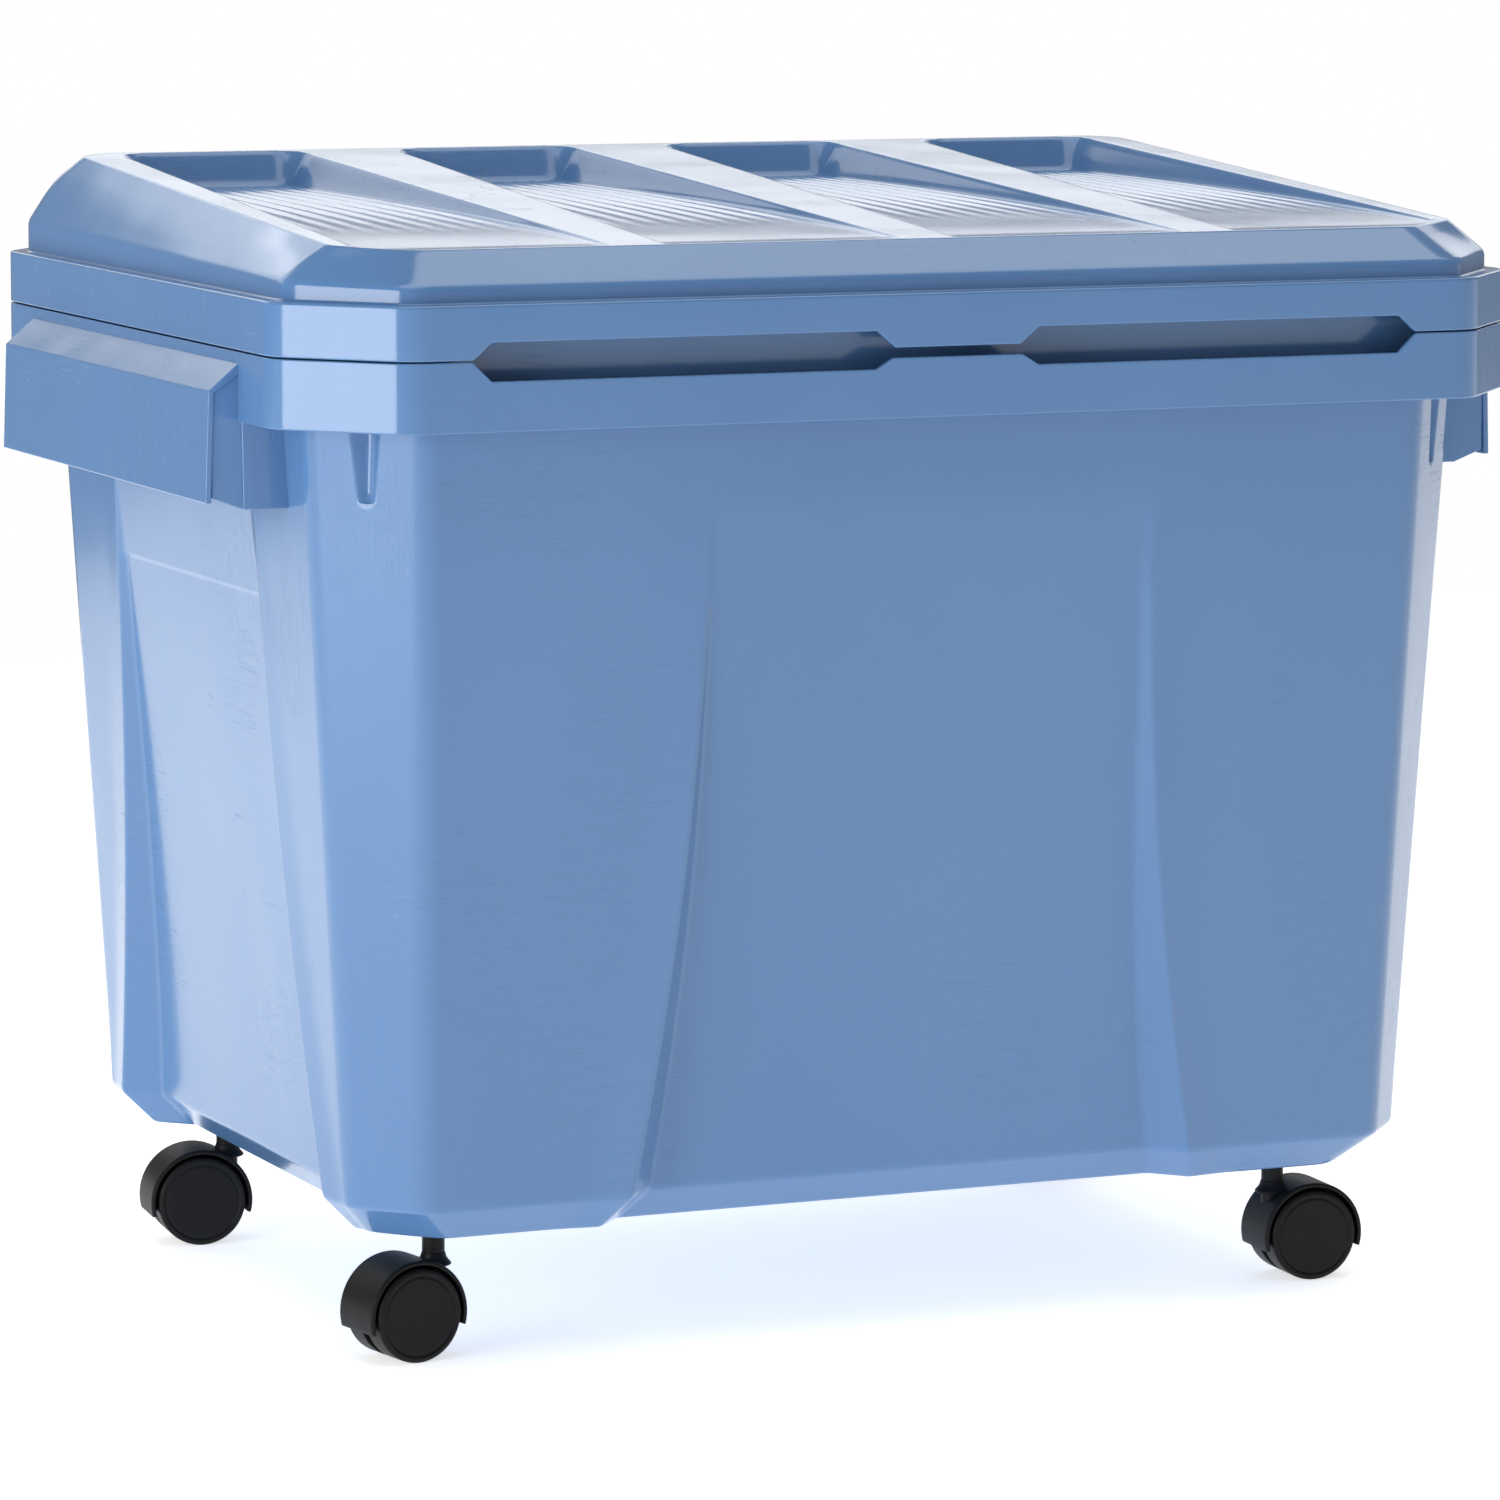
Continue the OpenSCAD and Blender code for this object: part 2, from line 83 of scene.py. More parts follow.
floor_mesh = bpy.data.meshes.new("floor")
floor_mesh.from_pydata([(-FLOOR_REACH, -FLOOR_REACH, 0), (FLOOR_REACH, -FLOOR_REACH, 0),
                        (FLOOR_REACH, FLOOR_BACK, 0), (-FLOOR_REACH, FLOOR_BACK, 0)], [], [(0, 1, 2, 3)])
floor = bpy.data.objects.new("floor", floor_mesh)
bpy.context.collection.objects.link(floor)
floor_paint = bpy.data.materials.new("floor")
floor_paint.use_nodes = True
for socket, value in (("Base Color", FLOOR_COLOUR), ("Roughness", FLOOR_ROUGHNESS),
                      ("Emission Color", (1, 1, 1, 1)), ("Emission Strength", FLOOR_GLOW)):
    floor_paint.node_tree.nodes["Principled BSDF"].inputs[socket].default_value = value
floor_mesh.materials.append(floor_paint)

world = bpy.data.worlds.new("surround")
world.use_nodes = True
backdrop = world.node_tree.nodes["Background"]
backdrop.inputs["Color"].default_value = (1, 1, 1, 1)
seen, strength = (world.node_tree.nodes.new("ShaderNode" + kind) for kind in ("LightPath", "MapRange"))
strength.inputs["To Min"].default_value, strength.inputs["To Max"].default_value = SURROUND_LIGHT, SURROUND_SEEN
world.node_tree.links.new(seen.outputs["Is Camera Ray"], strength.inputs["Value"])
world.node_tree.links.new(strength.outputs["Result"], backdrop.inputs["Strength"])
bpy.context.scene.world = world
bpy.context.scene.view_settings.view_transform = "Standard"


def soft_box(name, place, target, width, height, watts):
    """A rectangular area lamp that faces its target."""
    lamp = bpy.data.lights.new(name, "AREA")
    lamp.shape = "RECTANGLE"
    lamp.size, lamp.size_y, lamp.energy = width, height, watts
    box = bpy.data.objects.new(name, lamp)
    box.location = place
    box.rotation_euler = (Vector(target) - Vector(place)).to_track_quat("-Z", "Y").to_euler()
    bpy.context.collection.objects.link(box)


soft_box("left_box", place=(-2.0, -0.7, 0.52), target=(-0.3, -0.1, 0.4), width=1.2, height=0.9, watts=19)
soft_box("top_box", place=(0.2, -0.3, 2.6), target=(0, 0, 0.4), width=3.4, height=1.8, watts=36)
soft_box("back_box", place=(1.1, 2.4, 1.5), target=(0, 0, 0.55), width=3.2, height=1.2, watts=17)
soft_box("floor_wash", place=(-0.9, 1.1, 0.9), target=(-0.75, 1.05, 0), width=0.8, height=1.2, watts=4)

# ---------------------------------------------------------------------------------------------------
# Tub shell: one polypropylene injection moulding. Four legs with diagonal facets stand proud of panels
# that sink in towards the floor, and each facet has a short flute under the rim. Lengths are in
# millimetres from here on, and MM turns them into metres; SEAM_Z is where the tub's rim meets the lid.
# ---------------------------------------------------------------------------------------------------
MM = 0.001
tub_box = [np.array(c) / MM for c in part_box("tub")]
lid_box = [np.array(c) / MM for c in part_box("lid")]
HALF_W = lid_box[1][0]
HALF_D = lid_box[1][1]
BASE_Z = tub_box[0][2]
LIP_Z = tub_box[1][2]
LIP_H = 13
SEAM_Z = LIP_Z - LIP_H
WALL = 2.6
BAND_H = 29
# The wall stands WALL_INSET inside the rim band at WALL_INSET_Z, and leans in below. Under LEG_Z its base
# is bevelled, and the crests beside the panels spread a little.
WALL_INSET, WALL_INSET_Z = 20, SEAM_Z - 40
DRAFT = 0.06
LEG_Z = BASE_Z + 15
BEVEL_IN = 14
BEVEL_SPREAD = 0.6
# A panel sinks from SINK_TOP down. The crest beside it has a place along the wall at the top and at LEG_Z,
# a width towards the leg and a height, and a step down to the panel, at least STEP_LEAST of its full width.
SINK_TOP = SEAM_Z - 65
PANEL_SINK = 12
CREST_FRONT, CREST_SIDE = (102, 130), (90, 129)
CREST_W, CREST_H = 17, 2.5
CREST_CLEAR, FACET_CLEAR = 4, 6
STEP_W, STEP_LEAST = 13.5, 0.3
PANEL_LINE_Z = SEAM_Z - 106
PANEL_LINE = 0.35
# A flute's width and depth are given at its tip and under the rim band.
FLUTE_TIP, FLUTE_TIP_H = SEAM_Z - 60, 5
FLUTE_END, FLUTE_END_H = SEAM_Z - 8, 6
FLUTE_W = (7, 14)
FLUTE_DEEP = (2.8, 6.44)
# How much of x and of y a facet cuts off the rim's corner, and off the legs' at SEAM_Z.
RIM_CUT = np.array([42.0, 46.0])
LEG_CUT = RIM_CUT - [4, 6]
LEG_CUT_DRAFT = 0.04
LIP_ROUND = 0.8
# The floor is FLOOR_UP above the base's edge, which is PLATE_IN wide.
FLOOR_UP = 1.5
PLATE_IN = 4.0


def rounded(path, reach, steps, closed):
    """Rounds a polyline's corners, path[corner, ..., axis], all at once along its other axes.

    Each corner c becomes a parabola from a, `reach` before it, to b, `reach` after it, neither past the
    middle of its side: (1 - t)^2 a + 2 t (1 - t) c + t^2 b. A corner with no steps stays one point.
    """
    count = len(path)
    reach, steps = np.broadcast_to(reach, count), np.broadcast_to(steps, count)
    rows = []
    for k in range(count):
        at_end = not closed and k in (0, count - 1)
        if steps[k] == 0 or at_end:
            rows.append(path[k][None])
            continue
        back, ahead = path[k - 1] - path[k], path[(k + 1) % count] - path[k]
        ends = []
        for v in (back, ahead):
            length = np.linalg.norm(v, axis=-1, keepdims=True)
            ends.append(path[k] + v * np.minimum(reach[k] / np.maximum(length, 1e-9), 0.48))
        t = np.linspace(0, 1, steps[k] + 1).reshape((-1,) + (1,) * path[k].ndim)
        rows.append((1 - t) ** 2 * ends[0] + 2 * t * (1 - t) * path[k] + t ** 2 * ends[1])
    return np.concatenate(rows)


def loft(rows, ends="fan"):
    """Points and faces of a surface through rows[row, point, axis], each row closed on itself.

    ends is "fan", which closes the first and last row with a fan round its middle, "ring", which joins
    the last row to the first, or "open".
    """
    count, width = rows.shape[:2]
    points = rows.reshape(-1, 3)
    k = np.arange(count if ends == "ring" else count - 1)[:, None] * width
    i = np.arange(width)[None]
    j = (i + 1) % width
    up = (k + width) % (count * width)
    faces = np.stack([k + i, k + j, up + j, up + i], -1).reshape(-1, 4).tolist()
    if ends == "fan":
        middle = [rows[0].mean(0), rows[-1].mean(0)]
        points = np.concatenate([points, middle])
        foot, head, last = count * width, count * width + 1, (count - 1) * width
        faces += [(foot, (n + 1) % width, n) for n in range(width)]
        faces += [(head, last + n, last + (n + 1) % width) for n in range(width)]
    return points, faces


def volume(points, faces):
    """Six times the volume a closed surface holds: the sum of its triangles' triple products."""
    fans = np.array([(f[0], f[k], f[k + 1]) for f in faces for k in range(1, len(f) - 1)])
    a, b, c = points[fans[:, 0]], points[fans[:, 1]], points[fans[:, 2]]
    return (a * np.cross(b, c)).sum()


def piece(name, solids, material, body, bevel=None):
    """A mesh object made of closed solids in millimetres, faces turned outwards, with weighted normals."""
    points, faces, start = [], [], 0
    for p, f in solids:
        turn = 1 if volume(p, f) > 0 else -1
        points.append(p)
        faces += [[v + start for v in face[::turn]] for face in f]
        start += len(p)
    mesh = bpy.data.meshes.new(name)
    mesh.from_pydata(np.concatenate(points) * MM, [], faces)
    mesh.shade_smooth()
    mesh.materials.append(material)
    thing = bpy.data.objects.new(name, mesh)
    bpy.context.collection.objects.link(thing)
    if bevel:
        edge = thing.modifiers.new("edges", "BEVEL")
        edge.width, edge.segments, edge.limit_method, edge.angle_limit = bevel * MM, 3, "ANGLE", math.radians(30)
    thing.modifiers.new("normals", "WEIGHTED_NORMAL").keep_sharp = True
    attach(thing, body)
    return thing


def tub_inset(z):
    """How far the wall stands in from the rim band: by the draft, and faster over the base's bevel."""
    return WALL_INSET + (WALL_INSET_Z - z) * DRAFT + np.maximum(0, LEG_Z - z) * BEVEL_IN / (LEG_Z - BASE_Z)


def wall_corners(crest, z, reach, line):
    """Corners along one wall at heights z: how far along it each is, and how far it is sunk in.

    From the top of the panel to the foot of the legs the sink grows evenly, and the crest moves from its
    first to its second place with the square of the way down, and stays short of reach, the facet's edge.
    Below PANEL_LINE_Z the panel steps in by line.
    """
    t = np.clip((SINK_TOP - z) / (SINK_TOP - LEG_Z), 0, 1)
    peak = crest[0] + (crest[1] - crest[0]) * t ** 2 + np.maximum(0, LEG_Z - z) * BEVEL_SPREAD
    peak = np.minimum(peak, reach - CREST_CLEAR)
    foot, step = np.minimum(peak + CREST_W, reach), STEP_W * np.maximum(t, STEP_LEAST)
    along = np.stack([-foot, -peak, step - peak, peak - step, peak, foot])
    panel = PANEL_SINK * t + line * np.clip(PANEL_LINE_Z + 0.5 - z, 0, 1) * (z > LEG_Z)
    sunk = np.stack([0 * t, -CREST_H * t, panel, panel, -CREST_H * t, 0 * t])
    return along, sunk


def tub_rings(z, cover):
    """Rings of the tub wall at heights z, `cover` inside its face: four walls and four fluted facets.

    They run counter-clockwise. A facet gets narrower downwards and inwards, and its flute wider and deeper
    from its tip up to the rim band.
    """
    z = np.asarray(z, float)
    x, y = HALF_W - tub_inset(z) - cover, HALF_D - tub_inset(z) - cover
    cut = LEG_CUT[:, None] - (SEAM_Z - z) * LEG_CUT_DRAFT - cover / 2
    way = np.clip((z - FLUTE_TIP) / (SEAM_Z - BAND_H - FLUTE_TIP), 0, 1)
    tip = np.sqrt(np.clip((z - FLUTE_TIP) / FLUTE_TIP_H, 0, 1)) * np.clip((FLUTE_END - z) / FLUTE_END_H, 0, 1)
    wide = FLUTE_W[0] + (FLUTE_W[1] - FLUTE_W[0]) * way
    deep = (FLUTE_DEEP[0] + (FLUTE_DEEP[1] - FLUTE_DEEP[0]) * way) * tip
    ring = []
    for turn in range(4):
        ahead, out = [((1, 0), (0, -1)), ((0, 1), (1, 0)), ((-1, 0), (0, 1)), ((0, -1), (-1, 0))][turn]
        ahead, out = np.array(ahead)[:, None], np.array(out)[:, None]
        front = turn % 2 == 0
        near, far = (y, x) if front else (x, y)
        cut_here, cut_next = (cut[0], cut[1]) if front else (cut[1], cut[0])
        along, sunk = wall_corners(CREST_FRONT if front else CREST_SIDE, z, far - cut_here - FACET_CLEAR,
                                   0 if front else PANEL_LINE)
        ring += [a * ahead + (near - s) * out for a, s in zip(along, sunk)]
        a = (far - cut_here) * ahead + near * out
        b = far * ahead + (near - cut_next) * out
        way_on = (b - a) / np.linalg.norm(b - a, axis=0)
        inwards = np.stack([-way_on[1], way_on[0]])
        middle = (a + b) / 2
        ring += [a, middle - way_on * wide / 2, middle + inwards * deep, middle + way_on * wide / 2, b]
    ring = np.stack(ring)
    return np.concatenate([ring, np.broadcast_to(z, (len(ring), 1, len(z)))], 1).transpose(0, 2, 1)


# How far the six corners of a wall and the five of its facet are rounded, and in how many steps.
WALL_REACH = [6, 1.6, 2.2, 2.2, 1.6, 6, 7, 1.0, 3.0, 1.0, 7]
WALL_STEPS = [4, 4, 4, 4, 4, 4, 6, 2, 6, 2, 6]


def tub_skin(z, cover):
    """The rings at heights z with their corners rounded, as rows[row, point, axis]."""
    return rounded(tub_rings(z, cover), WALL_REACH * 4, WALL_STEPS * 4, True).transpose(1, 0, 2)


leg_levels = sorted([*np.linspace(LEG_Z, SINK_TOP, 14), *(PANEL_LINE_Z + np.array([-1.2, -0.5, 0.5, 1.2]))])
flute_levels = [FLUTE_TIP + d for d in (0, 0.3, 1, 2, 3.5, 5, 9, 16, 24, 31)]
outer_levels = [BASE_Z] + leg_levels + flute_levels + [FLUTE_END - FLUTE_END_H, FLUTE_END, LIP_Z]
inner_levels = outer_levels[:0:-1]
base_plate = tub_skin([BASE_Z], PLATE_IN + 1)
base_plate[..., 2] = BASE_Z + FLOOR_UP
shell_rows = np.concatenate([base_plate, tub_skin([BASE_Z], PLATE_IN), tub_skin(outer_levels, 0),
                             tub_skin(inner_levels, WALL), tub_skin([BASE_Z + FLOOR_UP + WALL], WALL)])
base_row = 2
panel_top, lip_row, last_row = base_row + len(leg_levels), base_row + len(outer_levels) - 1, len(shell_rows) - 1
# Reach and steps of the rows that are rounded; the others stay as they are.
softened = {base_row - 1: (0.5, 2), base_row: (2.0, 4), base_row + 1: (2.5, 4), panel_top: (8, 3),
            lip_row: (LIP_ROUND, 3), lip_row + 1: (LIP_ROUND, 3), last_row - 1: (3, 3)}
shell_reach, shell_steps = zip(*(softened.get(row, (0, 0)) for row in range(len(shell_rows))))
tub_shell = loft(rounded(shell_rows, shell_reach, shell_steps, False))

# ---------------------------------------------------------------------------------------------------
# Blue polypropylene: clean and glossy, with the faint unevenness of a big moulding: soft waves in the
# surface, an orange peel too fine to see singly, and streaks where the melt ran down from the rim.
# ---------------------------------------------------------------------------------------------------
BLUE_DEEP = (0.090, 0.210, 0.435, 1)
BLUE_PALE = (0.112, 0.245, 0.480, 1)
PLASTIC_IOR = 1.49
FLOW_SCALE, FLOW_STRETCH, FLOW_SHARE = 9, (1, 1, 0.22), 0.6
HAZE_SCALE = 38
SCRATCHES = (((9, 9, 0.5), 7), ((0.6, 0.6, 14), 9))
SCRATCH_SCALE, SCRATCH_THIN, SCRATCH_RARE = 30, 160, 0.58
SCRATCH_DULL, SCRATCH_DEEP = 0.18, 0.02
WAVE_SCALE, WAVE_STRETCH, WAVE_HIGH = 14, (1, 1, 0.6), 0.5
PEEL_SCALE, PEEL_HIGH = 1100, 0.012


def surface_group():
    """A node group for moulded plastic: a colour between two, a roughness between two, and a height.

    Colour and roughness follow slow noise, stretched down the part as the melt flows. The height adds
    long waves, a fine peel and sparse hairline scratches: thin bands where a stretched noise is near its
    middle, kept only in patches. SCRATCHES gives their stretch and the scale of their patches.
    """
    group = bpy.data.node_groups.new("moulded_surface", "ShaderNodeTree")
    for name, kind, value in (("Deep", "Color", (0, 0, 0, 1)), ("Pale", "Color", (1, 1, 1, 1)),
                              ("Polish", "Float", 0.2), ("Dull", "Float", 0.4), ("Peel", "Float", 1.0)):
        socket = group.interface.new_socket(name, in_out="INPUT", socket_type="NodeSocket" + kind)
        socket.default_value = value
    for name, kind in (("Colour", "Color"), ("Roughness", "Float"), ("Height", "Float")):
        group.interface.new_socket(name, in_out="OUTPUT", socket_type="NodeSocket" + kind)
    nodes, link = group.nodes, group.links.new
    given, made = nodes.new("NodeGroupInput"), nodes.new("NodeGroupOutput")
    place = nodes.new("ShaderNodeTexCoord")

    def noise(scale, detail, stretch=(1, 1, 1)):
        """Noise on Object coordinates, stretched along the axes."""
        mapping, field = nodes.new("ShaderNodeMapping"), nodes.new("ShaderNodeTexNoise")
        mapping.inputs["Scale"].default_value = stretch
        field.inputs["Scale"].default_value, field.inputs["Detail"].default_value = scale, detail
        link(place.outputs["Object"], mapping.inputs["Vector"])
        link(mapping.outputs["Vector"], field.inputs["Vector"])
        return field.outputs["Fac"]

    def maths(operation, a, b):
        """One Math node on two sockets or numbers."""
        node = nodes.new("ShaderNodeMath")
        node.operation = operation
        for socket, value in zip(node.inputs, (a, b)):
            if isinstance(value, (int, float)):
                socket.default_value = value
            else:
                link(value, socket)
        return node.outputs[0]

    flow = noise(FLOW_SCALE, 3, FLOW_STRETCH)
    haze = noise(HAZE_SCALE, 4)
    shade = nodes.new("ShaderNodeMix")
    shade.data_type = "RGBA"
    link(flow, shade.inputs["Factor"])
    link(given.outputs["Deep"], shade.inputs["A"])
    link(given.outputs["Pale"], shade.inputs["B"])
    link(shade.outputs["Result"], made.inputs["Colour"])

    spread = maths("SUBTRACT", given.outputs["Dull"], given.outputs["Polish"])
    streaks = maths("ADD", maths("MULTIPLY", flow, FLOW_SHARE), maths("MULTIPLY", haze, 1 - FLOW_SHARE))
    scratches = 0.0
    for stretch, patch_scale in SCRATCHES:
        off_middle = maths("ABSOLUTE", maths("SUBTRACT", noise(SCRATCH_SCALE, 1, stretch), 0.5), 0)
        thin = maths("MAXIMUM", maths("SUBTRACT", 1, maths("MULTIPLY", off_middle, SCRATCH_THIN)), 0)
        patch = maths("GREATER_THAN", noise(patch_scale, 2), SCRATCH_RARE)
        scratches = maths("ADD", scratches, maths("MULTIPLY", thin, patch))
    scratches = maths("MINIMUM", scratches, 1)
    clean = maths("ADD", maths("MULTIPLY", streaks, spread), given.outputs["Polish"])
    link(maths("ADD", clean, maths("MULTIPLY", scratches, SCRATCH_DULL)), made.inputs["Roughness"])

    waves = maths("MULTIPLY", noise(WAVE_SCALE, 1, WAVE_STRETCH), WAVE_HIGH)
    peel = maths("MULTIPLY", maths("MULTIPLY", noise(PEEL_SCALE, 2), PEEL_HIGH), given.outputs["Peel"])
    relief = maths("ADD", waves, peel)
    link(maths("SUBTRACT", relief, maths("MULTIPLY", scratches, SCRATCH_DEEP)), made.inputs["Height"])
    return group


SURFACE = surface_group()


def plastic(name, deep, pale, polish, dull, peel, bump, coat=0.0):
    """A Principled material that takes colour, roughness and bump height from the moulded surface.

    polish and dull are its least and greatest roughness, peel a factor on the fine grain, and bump the
    height of the relief in metres.
    """
    material = bpy.data.materials.new(name)
    material.use_nodes = True
    nodes, link = material.node_tree.nodes, material.node_tree.links.new
    shader, surface, relief = nodes["Principled BSDF"], nodes.new("ShaderNodeGroup"), nodes.new("ShaderNodeBump")
    surface.node_tree = SURFACE
    for socket, value in (("Deep", deep), ("Pale", pale), ("Polish", polish), ("Dull", dull), ("Peel", peel)):
        surface.inputs[socket].default_value = value
    relief.inputs["Distance"].default_value = bump
    link(surface.outputs["Colour"], shader.inputs["Base Color"])
    link(surface.outputs["Roughness"], shader.inputs["Roughness"])
    link(surface.outputs["Height"], relief.inputs["Height"])
    link(relief.outputs["Normal"], shader.inputs["Normal"])
    shader.inputs["IOR"].default_value = PLASTIC_IOR
    shader.inputs["Coat Weight"].default_value = coat
    shader.inputs["Coat Roughness"].default_value = polish
    return material


blue = plastic("blue_polypropylene", BLUE_DEEP, BLUE_PALE, polish=0.10, dull=0.22, peel=1.0, bump=0.002, coat=0.3)

# ---------------------------------------------------------------------------------------------------
# Rim of the tub: a downturned band, notched for two finger recesses in front and two hinges behind, and
# the flange that joins it to the wall. Part of the same moulding.
# ---------------------------------------------------------------------------------------------------
BAND_BOTTOM, BAND_TOP = SEAM_Z - BAND_H, SEAM_Z - 0.4
LID_BOTTOM = SEAM_Z + 0.2
RECESS_X = [29.5, 37, 207, 215.5]
RECESS_Z = [SEAM_Z - 4, SEAM_Z - 8.5, SEAM_Z - 8.5, BAND_TOP]
HINGE_X = 150
NOTCH_HALF, NOTCH_LEAN = 29.5, 0.6
NOTCH_FLOOR = BAND_BOTTOM + 7
FLANGE_Z = SEAM_Z - 12
FLANGE_OUT, FLANGE_IN = 1.3, 19.6
SLOT_DEEP, SLOT_LEAN = 14.5, 1
CORNER_REACH = 9


def octagon(inset, cut):
    """Corners of the rim outline moved in by inset, counter-clockwise from the front left."""
    x, y, (cx, cy) = HALF_W - inset, HALF_D - inset, cut
    return np.array([(cx - x, -y), (x - cx, -y), (x, cy - y), (x, y - cy),
                     (x - cx, y), (cx - x, y), (-x, y - cy), (-x, cy - y)])


def rim_path(inset, cut, z, front=(), back=()):
    """The octagon at height z, with more points (x, distance in, z) along its front and back."""
    flat = np.column_stack([octagon(inset, cut), np.full(8, z)])
    y = HALF_D - inset
    ahead = [(x, d - y, h) for x, d, h in front]
    behind = [(x, y - d, h) for x, d, h in back]
    return np.array([flat[0], *ahead, *flat[1:5], *behind, *flat[5:]])


def mirrored(half):
    """Points (x, distance in, z) for x > 0, given outwards, with their mirror images, in order of x."""
    return [(-x, d, z) for x, d, z in half[::-1]] + list(half)


recess_edge = mirrored([(x, 0, z) for x, z in zip(RECESS_X, RECESS_Z)])
notch_low, notch_high = HINGE_X - NOTCH_HALF, HINGE_X + NOTCH_HALF
hinge_edge = mirrored([(notch_low - NOTCH_LEAN, 0, BAND_TOP), (notch_low, 0, NOTCH_FLOOR),
                       (notch_high, 0, NOTCH_FLOOR), (notch_high + NOTCH_LEAN, 0, BAND_TOP)])[::-1]
straight_front = [(x, 0, BAND_BOTTOM) for x, _, _ in recess_edge]
straight_back = [(x, 0, BAND_BOTTOM) for x, _, _ in hinge_edge]
band_path = np.stack([
    rim_path(0, RIM_CUT, BAND_BOTTOM, straight_front, straight_back),
    rim_path(0, RIM_CUT, BAND_TOP, recess_edge, hinge_edge),
    rim_path(WALL, RIM_CUT - WALL / 2, BAND_TOP, recess_edge, hinge_edge),
    rim_path(WALL, RIM_CUT - WALL / 2, BAND_BOTTOM, straight_front, straight_back)], 1)
band_reach = [CORNER_REACH] + [0.6] * 8 + [CORNER_REACH] * 4 + [0.3] * 8 + [CORNER_REACH] * 3
band_steps = [8] + [2] * 8 + [8] * 4 + [1] * 8 + [8] * 3
band_rows = rounded(band_path, band_reach, band_steps, True).transpose(1, 0, 2)
tub_band = loft(rounded(band_rows, 0.7, 3, True), "ring")


def flange_edge(inset, cut, slot, z):
    """One edge of the flange at height z, with the two hinge slots as deep as `slot` behind."""
    lean = [(notch_low - SLOT_LEAN, 0, z), (notch_low, slot, z), (notch_high, slot, z), (notch_high + SLOT_LEAN, 0, z)]
    return rim_path(inset, cut, z, back=mirrored(lean)[::-1])


outside, inside = (FLANGE_OUT, RIM_CUT - 0.6, SLOT_DEEP), (FLANGE_IN, LEG_CUT - 1.2, 0)
flange_path = np.stack([flange_edge(*outside, FLANGE_Z), flange_edge(*outside, FLANGE_Z + WALL),
                        flange_edge(*inside, FLANGE_Z + WALL), flange_edge(*inside, FLANGE_Z)], 1)
flange_reach = [CORNER_REACH] * 5 + [0.5] * 8 + [CORNER_REACH] * 3
flange_rows = rounded(flange_path, flange_reach, 5, True).transpose(1, 0, 2)
tub_flange = loft(rounded(flange_rows, 0.4, 2, True), "ring")

# ---------------------------------------------------------------------------------------------------
# Sockets for the caster stems: round bosses that stand on the floor inside, open below. Part of the tub's
# moulding, which is put together here and takes the place of the designed tub.
# ---------------------------------------------------------------------------------------------------
BOSS_R, BOSS_H, BOSS_CAP = 10, 38, 3
SOCKET_R = 4.1
CORE_R = 0.4
CORNERS = ("fl", "fr", "bl", "br")


def lathe(outline, centre, axis, start, points=48):
    """An outline of (radius, height along axis) turned round an axis through centre, from the way start.

    Its two ends are at CORE_R, near the axis, so that a fan can close them.
    """
    axis, start = np.array(axis, float), np.array(start, float)
    other = np.cross(axis, start)
    turn = np.arange(points) * 2 * np.pi / points
    way = np.cos(turn)[:, None] * start + np.sin(turn)[:, None] * other
    radius, height = outline[:, 0][:, None, None], outline[:, 1][:, None, None]
    return np.asarray(centre) + radius * way[None] + height * axis


def profile(corners, reach, steps):
    """An outline's corners, (radius, height), rounded."""
    return rounded(np.array(corners, float), reach, steps, False)


socket_line = profile([(CORE_R, BOSS_H - BOSS_CAP), (SOCKET_R, BOSS_H - BOSS_CAP), (SOCKET_R, 0), (BOSS_R, 0),
                       (BOSS_R, BOSS_H), (CORE_R, BOSS_H)], 0.5, 2)
sockets = []
for corner in CORNERS:
    stem_x, stem_y, _ = np.mean(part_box("stem_" + corner), 0) / MM
    sockets.append(loft(lathe(socket_line, (stem_x, stem_y, BASE_Z), (0, 0, 1), (1, 0, 0))))

tub = piece("tub_moulding", [tub_shell, tub_band, tub_flange] + sockets, blue, "tub")
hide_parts("tub")

# ---------------------------------------------------------------------------------------------------
# Side handles: a grip plate hung from the rim band by a bevel, closed by a web at each end, open below.
# Each web has a thin raised field on its outer face. Part of the tub's moulding.
# ---------------------------------------------------------------------------------------------------
HANDLE_HALF = 134
GRIP_FLARE = 1.5
HANDLE_X = tub_box[1][0] - GRIP_FLARE
HANDLE_LOW = SEAM_Z - 62
HANDLE_TOP = SEAM_Z - 5
HANDLE_BEND = SEAM_Z - 16
GRIP_T, WEB_T = 2.5, 2.5
WEB_RAISED, WEB_OVERLAP = 0.9, 0.4


def prism(outline, start, end):
    """A flat outline (n, 3) carried from start to end, with flat ends."""
    outline, count = np.asarray(outline, float), len(outline)
    points = np.concatenate([outline + start, outline + end])
    i = np.arange(count)
    j = (i + 1) % count
    faces = np.stack([i, j, j + count, i + count], 1).tolist()
    return points, faces + [list(range(count))[::-1], list(range(count, 2 * count))]


